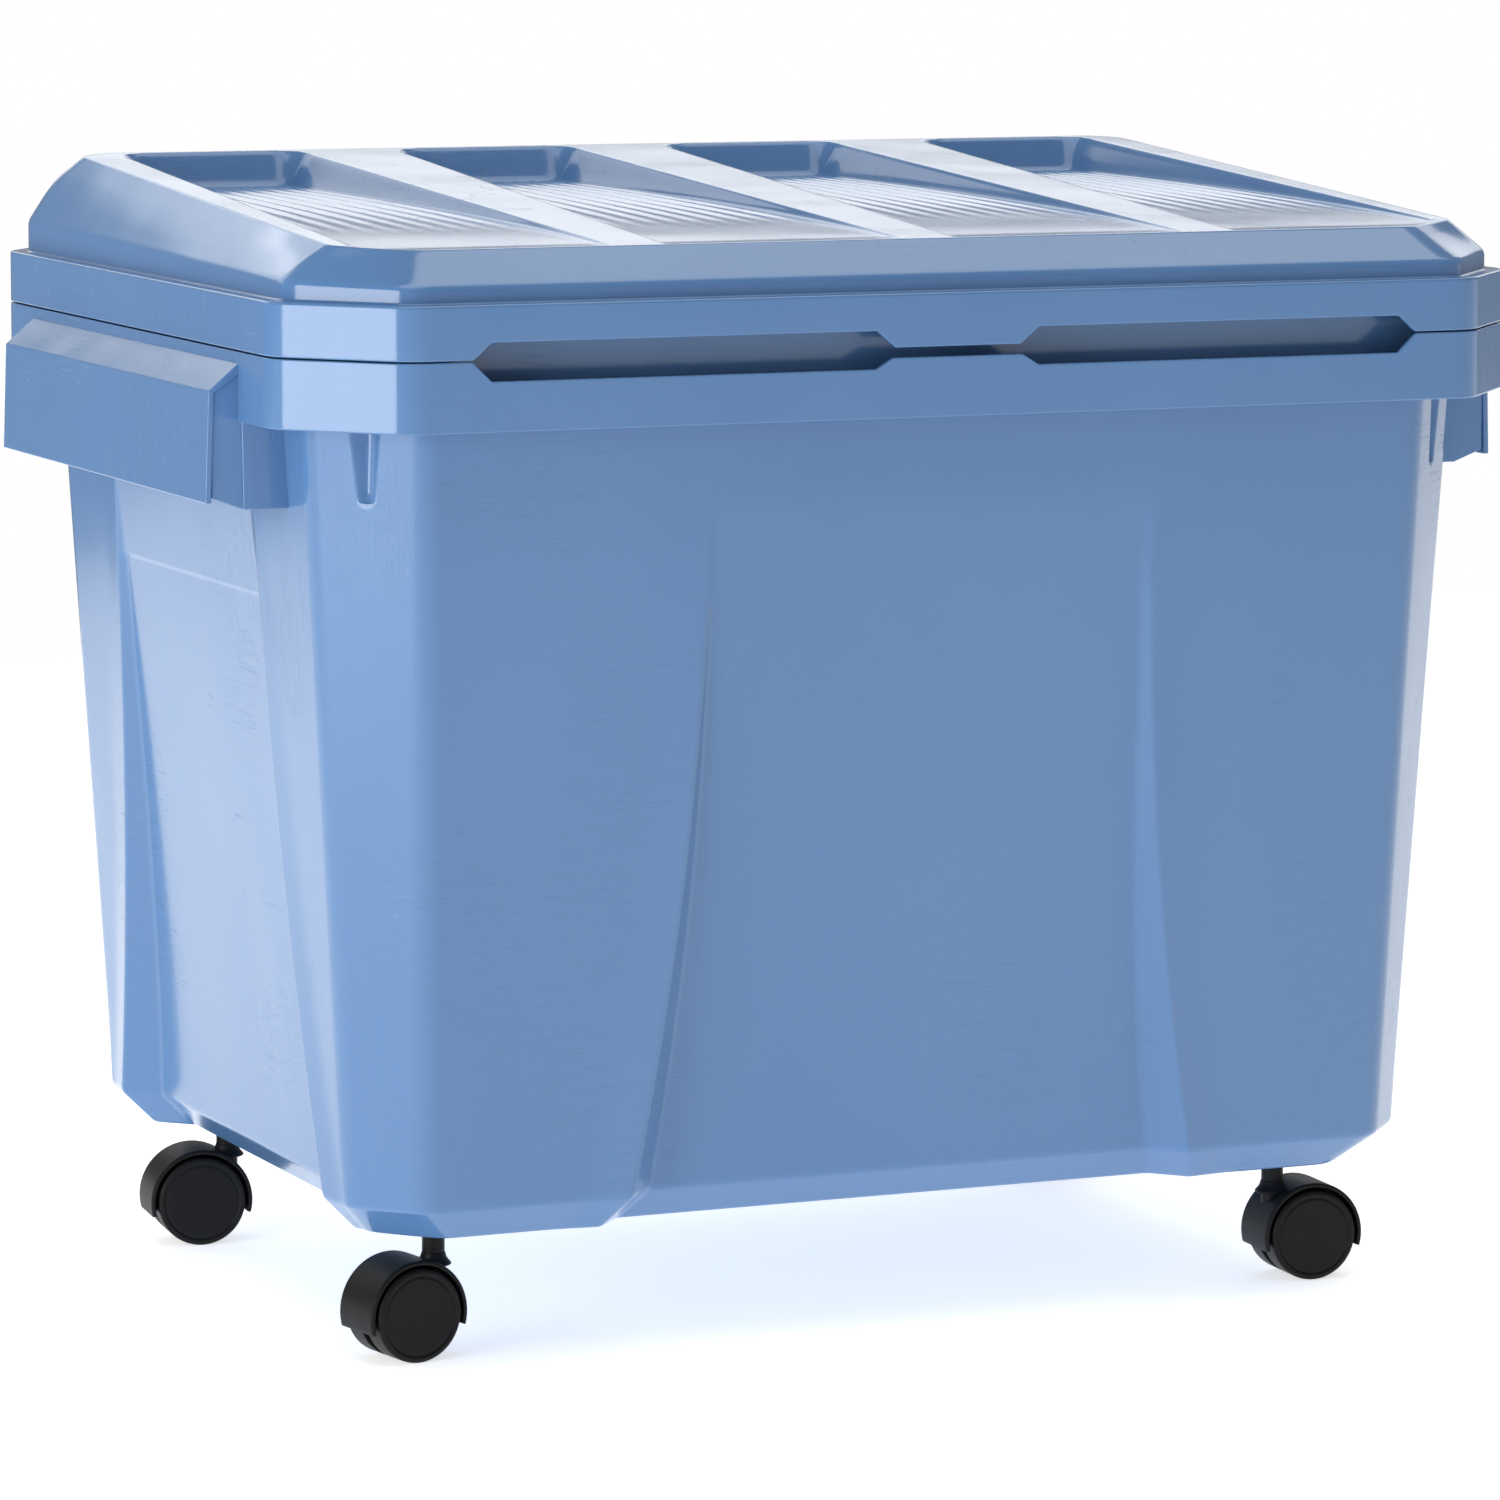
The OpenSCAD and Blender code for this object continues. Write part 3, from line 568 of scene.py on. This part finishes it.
for side, name in ((-1, "left"), (1, "right")):
    grip = [(side * x, 0, z) for x, z in (
        (HALF_W - 2, HANDLE_TOP), (HALF_W, HANDLE_TOP), (HANDLE_X, HANDLE_BEND), (HANDLE_X + GRIP_FLARE, HANDLE_LOW),
        (HANDLE_X + GRIP_FLARE - GRIP_T, HANDLE_LOW), (HANDLE_X - GRIP_T, HANDLE_BEND - 1),
        (HALF_W - 2, HANDLE_TOP - 3.4))]
    web = [(side * x, 0, z) for x, z in (
        (HALF_W - 24, HANDLE_LOW - 3), (HALF_W - 2, HANDLE_LOW - 3), (HANDLE_X - 1.5, HANDLE_LOW + 2),
        (HANDLE_X - 1.5, HANDLE_BEND - 1), (HALF_W - 1, HANDLE_TOP - 2), (HALF_W - 21, HANDLE_TOP - 4))]
    field = [web[0], web[1], web[4], web[5]]
    solids = [prism(grip, (0, -HANDLE_HALF, 0), (0, HANDLE_HALF, 0))]
    for end in (-1, 1):
        face, under_face, back = (end * (HANDLE_HALF - d) for d in (WEB_RAISED, WEB_RAISED + WEB_OVERLAP, WEB_T))
        solids.append(prism(web, (0, face, 0), (0, back, 0)))
        solids.append(prism(field, (0, end * HANDLE_HALF, 0), (0, under_face, 0)))
    piece("handle_" + name, solids, blue, "tub", bevel=0.5)

# ---------------------------------------------------------------------------------------------------
# Hinge ears: a pair on the tub round each knuckle of the lid, which the steel pins are pressed through.
# Part of the tub's moulding; the knuckles come with the lid.
# ---------------------------------------------------------------------------------------------------
hinge = next(j for j in frame["joints"] if j["name"] == "lid_hinge")
HINGE_Y, HINGE_Z = hinge["pos_m"][1] / MM, hinge["pos_m"][2] / MM
EYE_R = 5.5
EAR_W, EAR_DROP = 6, 16
KNUCKLE_W = 40
SIDE_PLAY = 0.5


def eye(first, last, points=16):
    """An arc of EYE_R about the hinge axis, from one angle to another in degrees, counted from +Y to +Z."""
    a = np.radians(np.linspace(first, last, points))
    return [(0, HINGE_Y + EYE_R * np.cos(t), HINGE_Z + EYE_R * np.sin(t)) for t in a]


wall_y = HALF_D - WALL_INSET
ear_shape = eye(-70, 90) + [(0, wall_y, HINGE_Z + EYE_R), (0, wall_y, HINGE_Z - EAR_DROP)]
ears = []
for x in (-HINGE_X, HINGE_X):
    for side in (-1, 1):
        middle = x + side * (KNUCKLE_W / 2 + SIDE_PLAY + EAR_W / 2)
        ears.append(prism(ear_shape, (middle - EAR_W / 2, 0, 0), (middle + EAR_W / 2, 0, 0)))
piece("hinge_ears", ears, blue, "tub", bevel=0.4)

# ---------------------------------------------------------------------------------------------------
# Lid: one polypropylene moulding. A flat-bottomed skirt, cut up over the finger recesses, carries a low
# dome whose sloping top has four tapered pockets with ridged floors. Two knuckles hang from its back.
# ---------------------------------------------------------------------------------------------------
KNUCKLE_TOP = SEAM_Z + 16.5
# The skirt ends in a ledge, and the dome stands inside it. Its foot and its top are lower in front.
LEDGE_Z, LEDGE = SEAM_Z + 22.5, 7.5
SKIRT_CUT_X, SKIRT_CUT_H = [28.5, 37, 207, 214.9], 7
FOOT_CUT_LESS = 4
FOOT_FRONT_Z, FOOT_BACK_Z = SEAM_Z + 29.5, SEAM_Z + 36.5
MID_BULGE, MID_RAISED = 6, 3
TOP_X, TOP_FRONT_Y, TOP_BACK_Y = 258, -190, 155.5
TOP_FRONT_Z, TOP_BACK_Z = lid_box[1][2] - 23, lid_box[1][2]
TOP_CUTS = ((31, 21), (12, 10))
TOP_INSET = 1.6
# Pockets: POCKET_HALF is half their width in front and behind, their walls lean in by POCKET_DRAFT over
# their depth, and they are POCKET_UNDER wider all round on the underside of the lid.
POCKET_PITCH, POCKET_DEPTH = 131, 15
POCKET_FRONT_Y, POCKET_BACK_Y = -188, 151.5
POCKET_HALF = (53.5, 42.5)
POCKET_CORNER_R, POCKET_DRAFT = 14, 8
POCKET_LIP, POCKET_FADE, POCKET_BEND = 0.5, 12, 1.5
POCKET_FOOT_ROUND, POCKET_EDGE_ROUND = 2.6, 1.4
POCKET_UNDER = 1.6
# Ridges: they rise over RIDGE_RISE from a gap at the pocket's back wall, and fade out towards RIDGE_FRONT_Y.
RIDGES, RIDGE_H = 9, 1.2
RIDGE_CLEAR = 3
RIDGE_BACK_GAP, RIDGE_RISE = 17, 7
RIDGE_FRONT_Y, RIDGE_FADE, RIDGE_FADE_POWER = -110, 150, 0.8
# Points of the lid's mesh: columns on a pocket's floor and beside the pockets, and points along the sides.
FLOOR_COLUMNS = 54
OUTER_COLUMNS = (253, 256)
SIDE_FACETS = (4, 7)
ARC_STEPS = 5

# Places of the rows along the lid's side, closer together at the back, where the pockets' ends are.
side_rows = np.concatenate([np.linspace(0.03, 0.80, 16), np.linspace(0.82, 0.985, 22)])


def smooth_min(a, b, width):
    """The lesser of a and b, rounded where they cross: min(a, b) - h^2 width / 4, h = 1 - |a - b| / width."""
    h = np.maximum(width - np.abs(a - b), 0) / width
    return np.minimum(a, b) - h * h * width / 4


def smooth_step(t):
    """0 up to t = 0, 1 from t = 1, and an even S between them."""
    t = np.clip(t, 0, 1)
    return t * t * (3 - 2 * t)


def pocket_half(y):
    """Half the width of a pocket at y, which shrinks evenly towards the back."""
    along = (y - POCKET_FRONT_Y) / (POCKET_BACK_Y - POCKET_FRONT_Y)
    return POCKET_HALF[0] + (POCKET_HALF[1] - POCKET_HALF[0]) * along


def pocket_depth(y):
    """Depth of a pocket's floor at y, which grows with a power of the way back: it is nearly flat in front."""
    along = np.clip((y - POCKET_FRONT_Y) / (POCKET_BACK_Y - POCKET_FRONT_Y), 0, 1)
    return POCKET_LIP + POCKET_DEPTH * along ** POCKET_BEND


def pocket_drop(x, y, wider):
    """How far the pockets lie below the plane of the top, each `wider` all round.

    The floor sinks from the lip at the front to the full depth at the back, the walls lean, and the back
    corners are round. The whole pocket runs out just behind the front edge. Ridges like waves run along the
    floor and fade out towards the front; the wider pockets under the lid have none.
    """
    half, full = pocket_half(y) + wider, pocket_depth(y)
    across = x - POCKET_PITCH * (np.round(x / POCKET_PITCH - 0.5) + 0.5)
    from_side, from_back = half - np.abs(across), POCKET_BACK_Y + wider - y
    a, b = np.maximum(POCKET_CORNER_R - from_side, 0), np.maximum(POCKET_CORNER_R - from_back, 0)
    inside = np.where((a > 0) & (b > 0), POCKET_CORNER_R - np.hypot(a, b), np.minimum(from_side, from_back))
    sunk = smooth_min(full, inside * POCKET_DEPTH / POCKET_DRAFT, POCKET_FOOT_ROUND)
    drop = -smooth_min(-sunk, 0 * x, POCKET_EDGE_ROUND)
    if wider == 0:
        flat = pocket_half(y) - full * POCKET_DRAFT / POCKET_DEPTH - RIDGE_CLEAR
        wave = 0.5 - 0.5 * np.cos(np.pi * RIDGES * (across / flat + 1))
        fade = np.clip((y - RIDGE_FRONT_Y) / RIDGE_FADE, 0, 1) ** RIDGE_FADE_POWER
        drop -= RIDGE_H * wave * smooth_step((POCKET_BACK_Y - RIDGE_BACK_GAP - y) / RIDGE_RISE) * fade * (
            np.abs(across) < flat)
    return drop * smooth_step((y - TOP_FRONT_Y) / POCKET_FADE)


def pocket_columns(y, wider):
    """Places of the columns across the top at y: close together over each edge, and even on each floor.

    One more column runs along the middle of each rib, and two outside the outer pockets.
    """
    half = pocket_half(y) + wider
    wall = pocket_depth(y) * POCKET_DRAFT / POCKET_DEPTH
    edge = np.stack([s + f * wall for s, f in ((-2.5, 0), (-0.9, 0), (-0.3, 0), (0.2, 0.03), (0.5, 0.15), (0.7, 0.5),
                                               (0.9, 0.85), (1.4, 0.97), (2.1, 1), (RIDGE_CLEAR, 1))])
    flat = half - wall - RIDGE_CLEAR
    floor_columns = np.linspace(-1, 1, FLOOR_COLUMNS + 1)[1:-1, None] * flat
    one = np.concatenate([edge - half, floor_columns, (half - edge)[::-1]])
    centre = np.zeros((1, len(y)))
    groups = [centre - OUTER_COLUMNS[1], centre - OUTER_COLUMNS[0]]
    for k in (-1.5, -0.5, 0.5, 1.5):
        groups += [one + k * POCKET_PITCH] + ([centre + (k + 0.5) * POCKET_PITCH] if k < 1 else [])
    return np.concatenate(groups + [centre + OUTER_COLUMNS[0], centre + OUTER_COLUMNS[1]])


def squeezed(x, y, limit):
    """Columns x fitted between the sides of the top, +-limit, by moving only those near the corners.

    Columns up to `kept` stay where they are. It grows past the front corners and shrinks behind the pockets.
    """
    kept = np.interp(y, [-168, -150, POCKET_BACK_Y + 0.2, POCKET_BACK_Y + 2], [200, 242, 242, 225])
    kept = np.minimum(kept, limit - 4)
    outer = np.abs(x).max(0)
    far = kept + (np.abs(x) - kept) * (limit - kept) / (outer - kept)
    return np.sign(x) * np.where(np.abs(x) > kept, far, np.abs(x))


def side_path(x, front, back, cuts, reach):
    """The right-hand side of a cut-cornered outline, from the end of its front edge to that of its back.

    Its corners are rounded by reach, or less on a short side; the straight parts between have a set number
    of points, so that every such side has the same number.
    """
    corners = np.array([(x - cuts[0][0] - reach - 1, front), (x - cuts[0][0], front), (x, front + cuts[0][1]),
                        (x, back - cuts[1][1]), (x - cuts[1][0], back), (x - cuts[1][0] - reach - 1, back)], float)
    path = []
    for k in (1, 2, 3, 4):
        way_in, way_out = corners[k - 1] - corners[k], corners[k + 1] - corners[k]
        length = [np.linalg.norm(way_in), np.linalg.norm(way_out)]
        r = min(reach, 0.45 * length[0] if k in (2, 4) else reach, 0.45 * length[1] if k in (1, 3) else reach)
        a, b = corners[k] + way_in / length[0] * r, corners[k] + way_out / length[1] * r
        t = np.linspace(0, 1, ARC_STEPS + 1)[:, None]
        if path:
            inner = {2: np.linspace(0, 1, SIDE_FACETS[0] + 1)[1:-1], 3: side_rows,
                     4: np.linspace(0, 1, SIDE_FACETS[1] + 1)[1:-1]}[k][:, None]
            path.append(path[-1][-1] * (1 - inner) + a * inner)
        path.append((1 - t) ** 2 * a + 2 * t * (1 - t) * corners[k] + t ** 2 * b)
    return np.concatenate(path)


def lid_ring(x, front, back, cuts, reach, front_z, back_z, spread):
    """One ring round the lid, counter-clockwise: front columns, right side, back columns, left side.

    spread holds the places of the front and back columns as fractions of the half width between corners.
    """
    side = side_path(x, front, back, cuts, reach)
    ahead = np.column_stack([spread[0] * side[0, 0], np.full(len(spread[0]), side[0, 1])])
    behind = np.column_stack([spread[1] * side[-1, 0], np.full(len(spread[1]), side[-1, 1])])[::-1]
    flat = np.concatenate([ahead[:-1], side, behind[1:-1], (side * [-1, 1])[::-1][:-1]])
    z = front_z + (back_z - front_z) * (flat[:, 1] - front) / (back - front)
    return np.column_stack([flat, z])


def lid_grid(side, wider):
    """Columns and rows across the top whose ends are the points of its right-hand side."""
    x, y = pocket_columns(side[:, 1], wider), side[:, 1]
    return squeezed(x, y, side[:, 0]), np.broadcast_to(y, x.shape)


def plane_z(y, cover):
    """Height of the sloping top."""
    return TOP_FRONT_Z - cover + (TOP_BACK_Z - TOP_FRONT_Z) * (y - TOP_FRONT_Y) / (TOP_BACK_Y - TOP_FRONT_Y)


def lid_stations(cover, spread):
    """Rings of the outer faces, from the ledge's edge up to the top's, or of the inner ones at WALL cover.

    They are the ledge's outer and inner edge, the foot of the dome, its middle and the edge of the top.
    """
    x0, y0 = HALF_W - cover, HALF_D - cover
    x1, y1 = x0 - LEDGE, y0 - LEDGE
    x2, f2, b2 = TOP_X - cover, TOP_FRONT_Y + cover, TOP_BACK_Y - cover
    rim, foot = RIM_CUT - cover / 2, RIM_CUT - FOOT_CUT_LESS - cover / 2
    cuts = np.array(TOP_CUTS) - cover / 2
    middle = [(foot + c) / 2 for c in cuts]
    reach = 9 - cover
    fz, bz = FOOT_FRONT_Z - cover * 0.4, FOOT_BACK_Z - cover * 0.4
    tz, uz = TOP_FRONT_Z - cover, TOP_BACK_Z - cover
    return [lid_ring(x0, -y0, y0, (rim, rim), reach, LEDGE_Z - cover, LEDGE_Z - cover, spread),
            lid_ring(x1, -y1, y1, (foot, foot), reach - 1, LEDGE_Z - cover, LEDGE_Z - cover, spread),
            lid_ring(x1, -y1, y1, (foot, foot), reach - 1, fz, bz, spread),
            lid_ring((x1 + x2) / 2, (f2 - y1) / 2, (b2 + y1) / 2 + MID_BULGE, middle, 7, (fz + tz) / 2,
                     (bz + uz) / 2 + MID_RAISED, spread),
            lid_ring(x2, f2, b2, cuts, 5, tz, uz, spread)]


def top_parts(cover, wider):
    """The grid over the top inside TOP_INSET, its height, and the spread of its front and back columns."""
    inset = cover + TOP_INSET
    side = side_path(TOP_X - inset, TOP_FRONT_Y + inset, TOP_BACK_Y - inset,
                     np.array(TOP_CUTS) - cover / 2 - TOP_INSET * 0.4, 4.5)
    x, y = lid_grid(side, wider)
    return x, y, plane_z(y, cover) - pocket_drop(x, y, wider), (x[:, 0] / side[0, 0], x[:, -1] / side[-1, 0])


def grid_edge(columns, rows):
    """Column and row of each point round the grid, in the order of a ring."""
    c, r = np.arange(columns), np.arange(rows)
    return (np.concatenate([c[:-1], np.full(rows - 1, columns - 1), c[:0:-1], np.zeros(rows - 1, int)]),
            np.concatenate([np.zeros(columns - 1, int), r[:-1], np.full(columns - 1, rows - 1), r[:0:-1]]))


top_x, top_y, top_z, spread = top_parts(0, 0)
under_x, under_y, under_z, _ = top_parts(WALL, POCKET_UNDER)
edge_c, edge_r = grid_edge(*top_x.shape)
outer = lid_stations(0, spread)
inner = lid_stations(WALL, spread)

# The skirt's lower edge. In front, the columns nearest to the corners of a finger recess move onto them.
skirt_out, skirt_in = outer[0].copy(), inner[0].copy()
for ring in (skirt_out, skirt_in):
    ahead = ring[:, 1] == ring[:, 1].min()
    places = np.abs(ring[ahead, 0])
    nearest = [places[np.argmin(np.abs(places - x))] for x in SKIRT_CUT_X]
    moved = np.interp(places, [0, *nearest, HALF_W], [0, *SKIRT_CUT_X, HALF_W])
    ring[ahead, 0] = np.sign(ring[ahead, 0]) * moved
    ring[:, 2] = LID_BOTTOM
    ring[ahead, 2] += np.interp(moved, SKIRT_CUT_X, [0, SKIRT_CUT_H, SKIRT_CUT_H, 0])

lid_rows = np.stack([np.column_stack([under_x[edge_c, edge_r], under_y[edge_c, edge_r], under_z[edge_c, edge_r]]),
                     *inner[::-1], skirt_in, skirt_out, *outer,
                     np.column_stack([top_x[edge_c, edge_r], top_y[edge_c, edge_r], top_z[edge_c, edge_r]])])
lid_reach = [0, 1.5, 6, 2, 0.6, 1, 0.7, 0.7, 1.3, 1.0, 2.2, 9, 1.3, 0]
lid_steps = [0, 2, 4, 2, 2, 2, 3, 3, 3, 3, 4, 8, 3, 0]
lid_rows = rounded(lid_rows, lid_reach, lid_steps, False)


def closed_lid():
    """The lid's rings, with the grids of its underside and top joined to the first and last of them."""
    ring_count, ring_width = lid_rows.shape[:2]
    ring_points, faces = loft(lid_rows, "open")
    points, start = [ring_points], len(ring_points)
    for x, y, z, ring, over in ((under_x, under_y, under_z, 0, False), (top_x, top_y, top_z, ring_count - 1, True)):
        index = np.zeros(x.shape, int)
        index[1:-1, 1:-1] = start + np.arange(index[1:-1, 1:-1].size).reshape(index[1:-1, 1:-1].shape)
        index[edge_c, edge_r] = ring * ring_width + np.arange(ring_width)
        points.append(np.stack([x, y, z], -1)[1:-1, 1:-1].reshape(-1, 3))
        start += len(points[-1])
        quad = np.stack([index[:-1, :-1], index[1:, :-1], index[1:, 1:], index[:-1, 1:]], -1).reshape(-1, 4)
        faces += (quad if over else quad[:, ::-1]).tolist()
    return np.concatenate(points), faces


knuckle_shape = eye(75, 360) + [(0, HINGE_Y + 5.8, KNUCKLE_TOP), (0, HINGE_Y + 4, KNUCKLE_TOP),
                                (0, HINGE_Y + 2, LID_BOTTOM + 2)]
knuckles = [prism(knuckle_shape, (x - KNUCKLE_W / 2, 0, 0), (x + KNUCKLE_W / 2, 0, 0)) for x in (-HINGE_X, HINGE_X)]
lid = piece("lid_moulding", [closed_lid()], blue, "lid")
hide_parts("lid")
piece("lid_knuckles", knuckles, blue, "lid", bevel=0.4)

# ---------------------------------------------------------------------------------------------------
# Steel: zinc-plated turned stems, split grip rings, axles and hinge pins, bright with a fine grain from
# the lathe. Their shapes stay as designed.
# ---------------------------------------------------------------------------------------------------
STEEL_DARK, STEEL_BRIGHT = (0.42, 0.43, 0.44, 1), (0.62, 0.63, 0.64, 1)

steel = plastic("zinc_plated_steel", STEEL_DARK, STEEL_BRIGHT, polish=0.22, dull=0.42, peel=2.0, bump=0.0015)
steel.node_tree.nodes["Principled BSDF"].inputs["Metallic"].default_value = 1.0
for name, node in frame["nodes"].items():
    if name.startswith(("stem_", "grip_ring_", "axle_", "hinge_pin_")):
        node.data.materials.clear()
        node.data.materials.append(steel)

# ---------------------------------------------------------------------------------------------------
# Casters: a black nylon hood that turns on the stem, with a web between two black nylon wheels, and a
# flared neck. Each wheel is a cup with a flat, rimmed face outwards. Both are moulded, with a fine
# spark-eroded grain. Heights of the neck are above the floor.
# ---------------------------------------------------------------------------------------------------
WHEEL_R = 20
WHEEL_IN, WHEEL_FACE = 2.4, 14.2
CUP_R, CUP_IN = 17, WHEEL_FACE - 3.4
HUB_R, HUB_BORE = 5, 2.06
AXLE_END = 11.5
HOOD_R, WELL_R = 23.4, 21.5
HOOD_HALF = 13.5
HOOD_CUT = 6.05
HOOD_STEPS, WEB_STEPS = 56, 40
WEB_HALF, WEB_LESS = 2, 0.9
NECK_R, NECK_TOP, NECK_FOOT = 4.8, 52.8, WHEEL_R + 8
SEAT_R, SEAT_H = 3.1, 4
BLACK_DEEP, BLACK_PALE = (0.004, 0.004, 0.004, 1), (0.008, 0.008, 0.008, 1)
BLACK_SHINE = 0.2

black = plastic("black_nylon", BLACK_DEEP, BLACK_PALE, polish=0.36, dull=0.52, peel=5.0, bump=0.0015)
black.node_tree.nodes["Principled BSDF"].inputs["Specular IOR Level"].default_value = BLACK_SHINE
wheel_line = profile([(CORE_R, AXLE_END), (HUB_BORE, AXLE_END), (HUB_BORE, WHEEL_IN), (HUB_R, WHEEL_IN),
                      (HUB_R, CUP_IN), (CUP_R, CUP_IN), (CUP_R, WHEEL_IN), (WHEEL_R, WHEEL_IN),
                      (WHEEL_R, WHEEL_FACE - 0.6), (18.6, WHEEL_FACE), (17.6, WHEEL_FACE), (17.2, WHEEL_FACE - 0.55),
                      (16.6, WHEEL_FACE - 0.55), (15.8, WHEEL_FACE - 0.2), (CORE_R, WHEEL_FACE - 0.1)],
                     [0, 0.2, 0.3, 0.4, 0.6, 0.6, 0.4, 0.7, 1.2, 0.5, 0.3, 0.3, 0.4, 0.6, 0], 3)
hood_section = rounded(np.array([(WELL_R, -HOOD_HALF), (HOOD_R, -HOOD_HALF), (HOOD_R, HOOD_HALF),
                                 (WELL_R, HOOD_HALF)], float), [0.4, 1.5, 1.5, 0.4], 4, True)
neck_line = profile([(CORE_R, NECK_FOOT), (NECK_R, NECK_FOOT), (NECK_R, NECK_TOP), (SEAT_R, NECK_TOP),
                     (SEAT_R, NECK_TOP - SEAT_H), (CORE_R, NECK_TOP - SEAT_H)], 0.4, 3)
neck_flare = profile([(CORE_R, 36), (NECK_R + 3.4, 38.5), (NECK_R + 0.9, 41), (NECK_R, 44.5), (CORE_R, 44.5)], 1.5, 4)
up = np.array([0, 0, 1.0])


def hood_arc(trail, steps):
    """Unit ways from the hub over the hood, from just below it on the way of trail round to the other side."""
    low = math.asin(HOOD_CUT / HOOD_R)
    angle = np.linspace(-low, np.pi + low, steps + 1)[:, None]
    return np.cos(angle) * trail + np.sin(angle) * up


for corner in CORNERS:
    stem_at = np.mean(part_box("stem_" + corner), 0) / MM
    hub = np.mean(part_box("axle_" + corner), 0) / MM
    trail = (hub - stem_at) * [1, 1, 0]
    trail /= np.linalg.norm(trail)
    across = np.cross(up, trail)

    shell = hub + hood_section[:, :1] * hood_arc(trail, HOOD_STEPS)[:, None] + hood_section[:, 1:] * across
    web = hub + (HOOD_R - WEB_LESS) * hood_arc(trail, WEB_STEPS)
    stem_line = stem_at * [1, 1, 0]
    hood = piece("caster_hood_" + corner,
                 [loft(shell), prism(web, -WEB_HALF * across, WEB_HALF * across),
                  loft(lathe(neck_line, stem_line, up, trail)), loft(lathe(neck_flare, stem_line, up, trail))],
                 black, "caster_" + corner)
    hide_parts("hood_" + corner)
    for side in ("outer", "inner"):
        node = f"wheel_{side}_{corner}"
        way = np.sign(np.dot(np.mean(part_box(node), 0) / MM - hub, across))
        turned = lathe(wheel_line, hub, way * across, trail, 96)
        wheel = piece(f"wheel_{side}_nylon_{corner}", [loft(turned)], black, node)
        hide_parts(node)
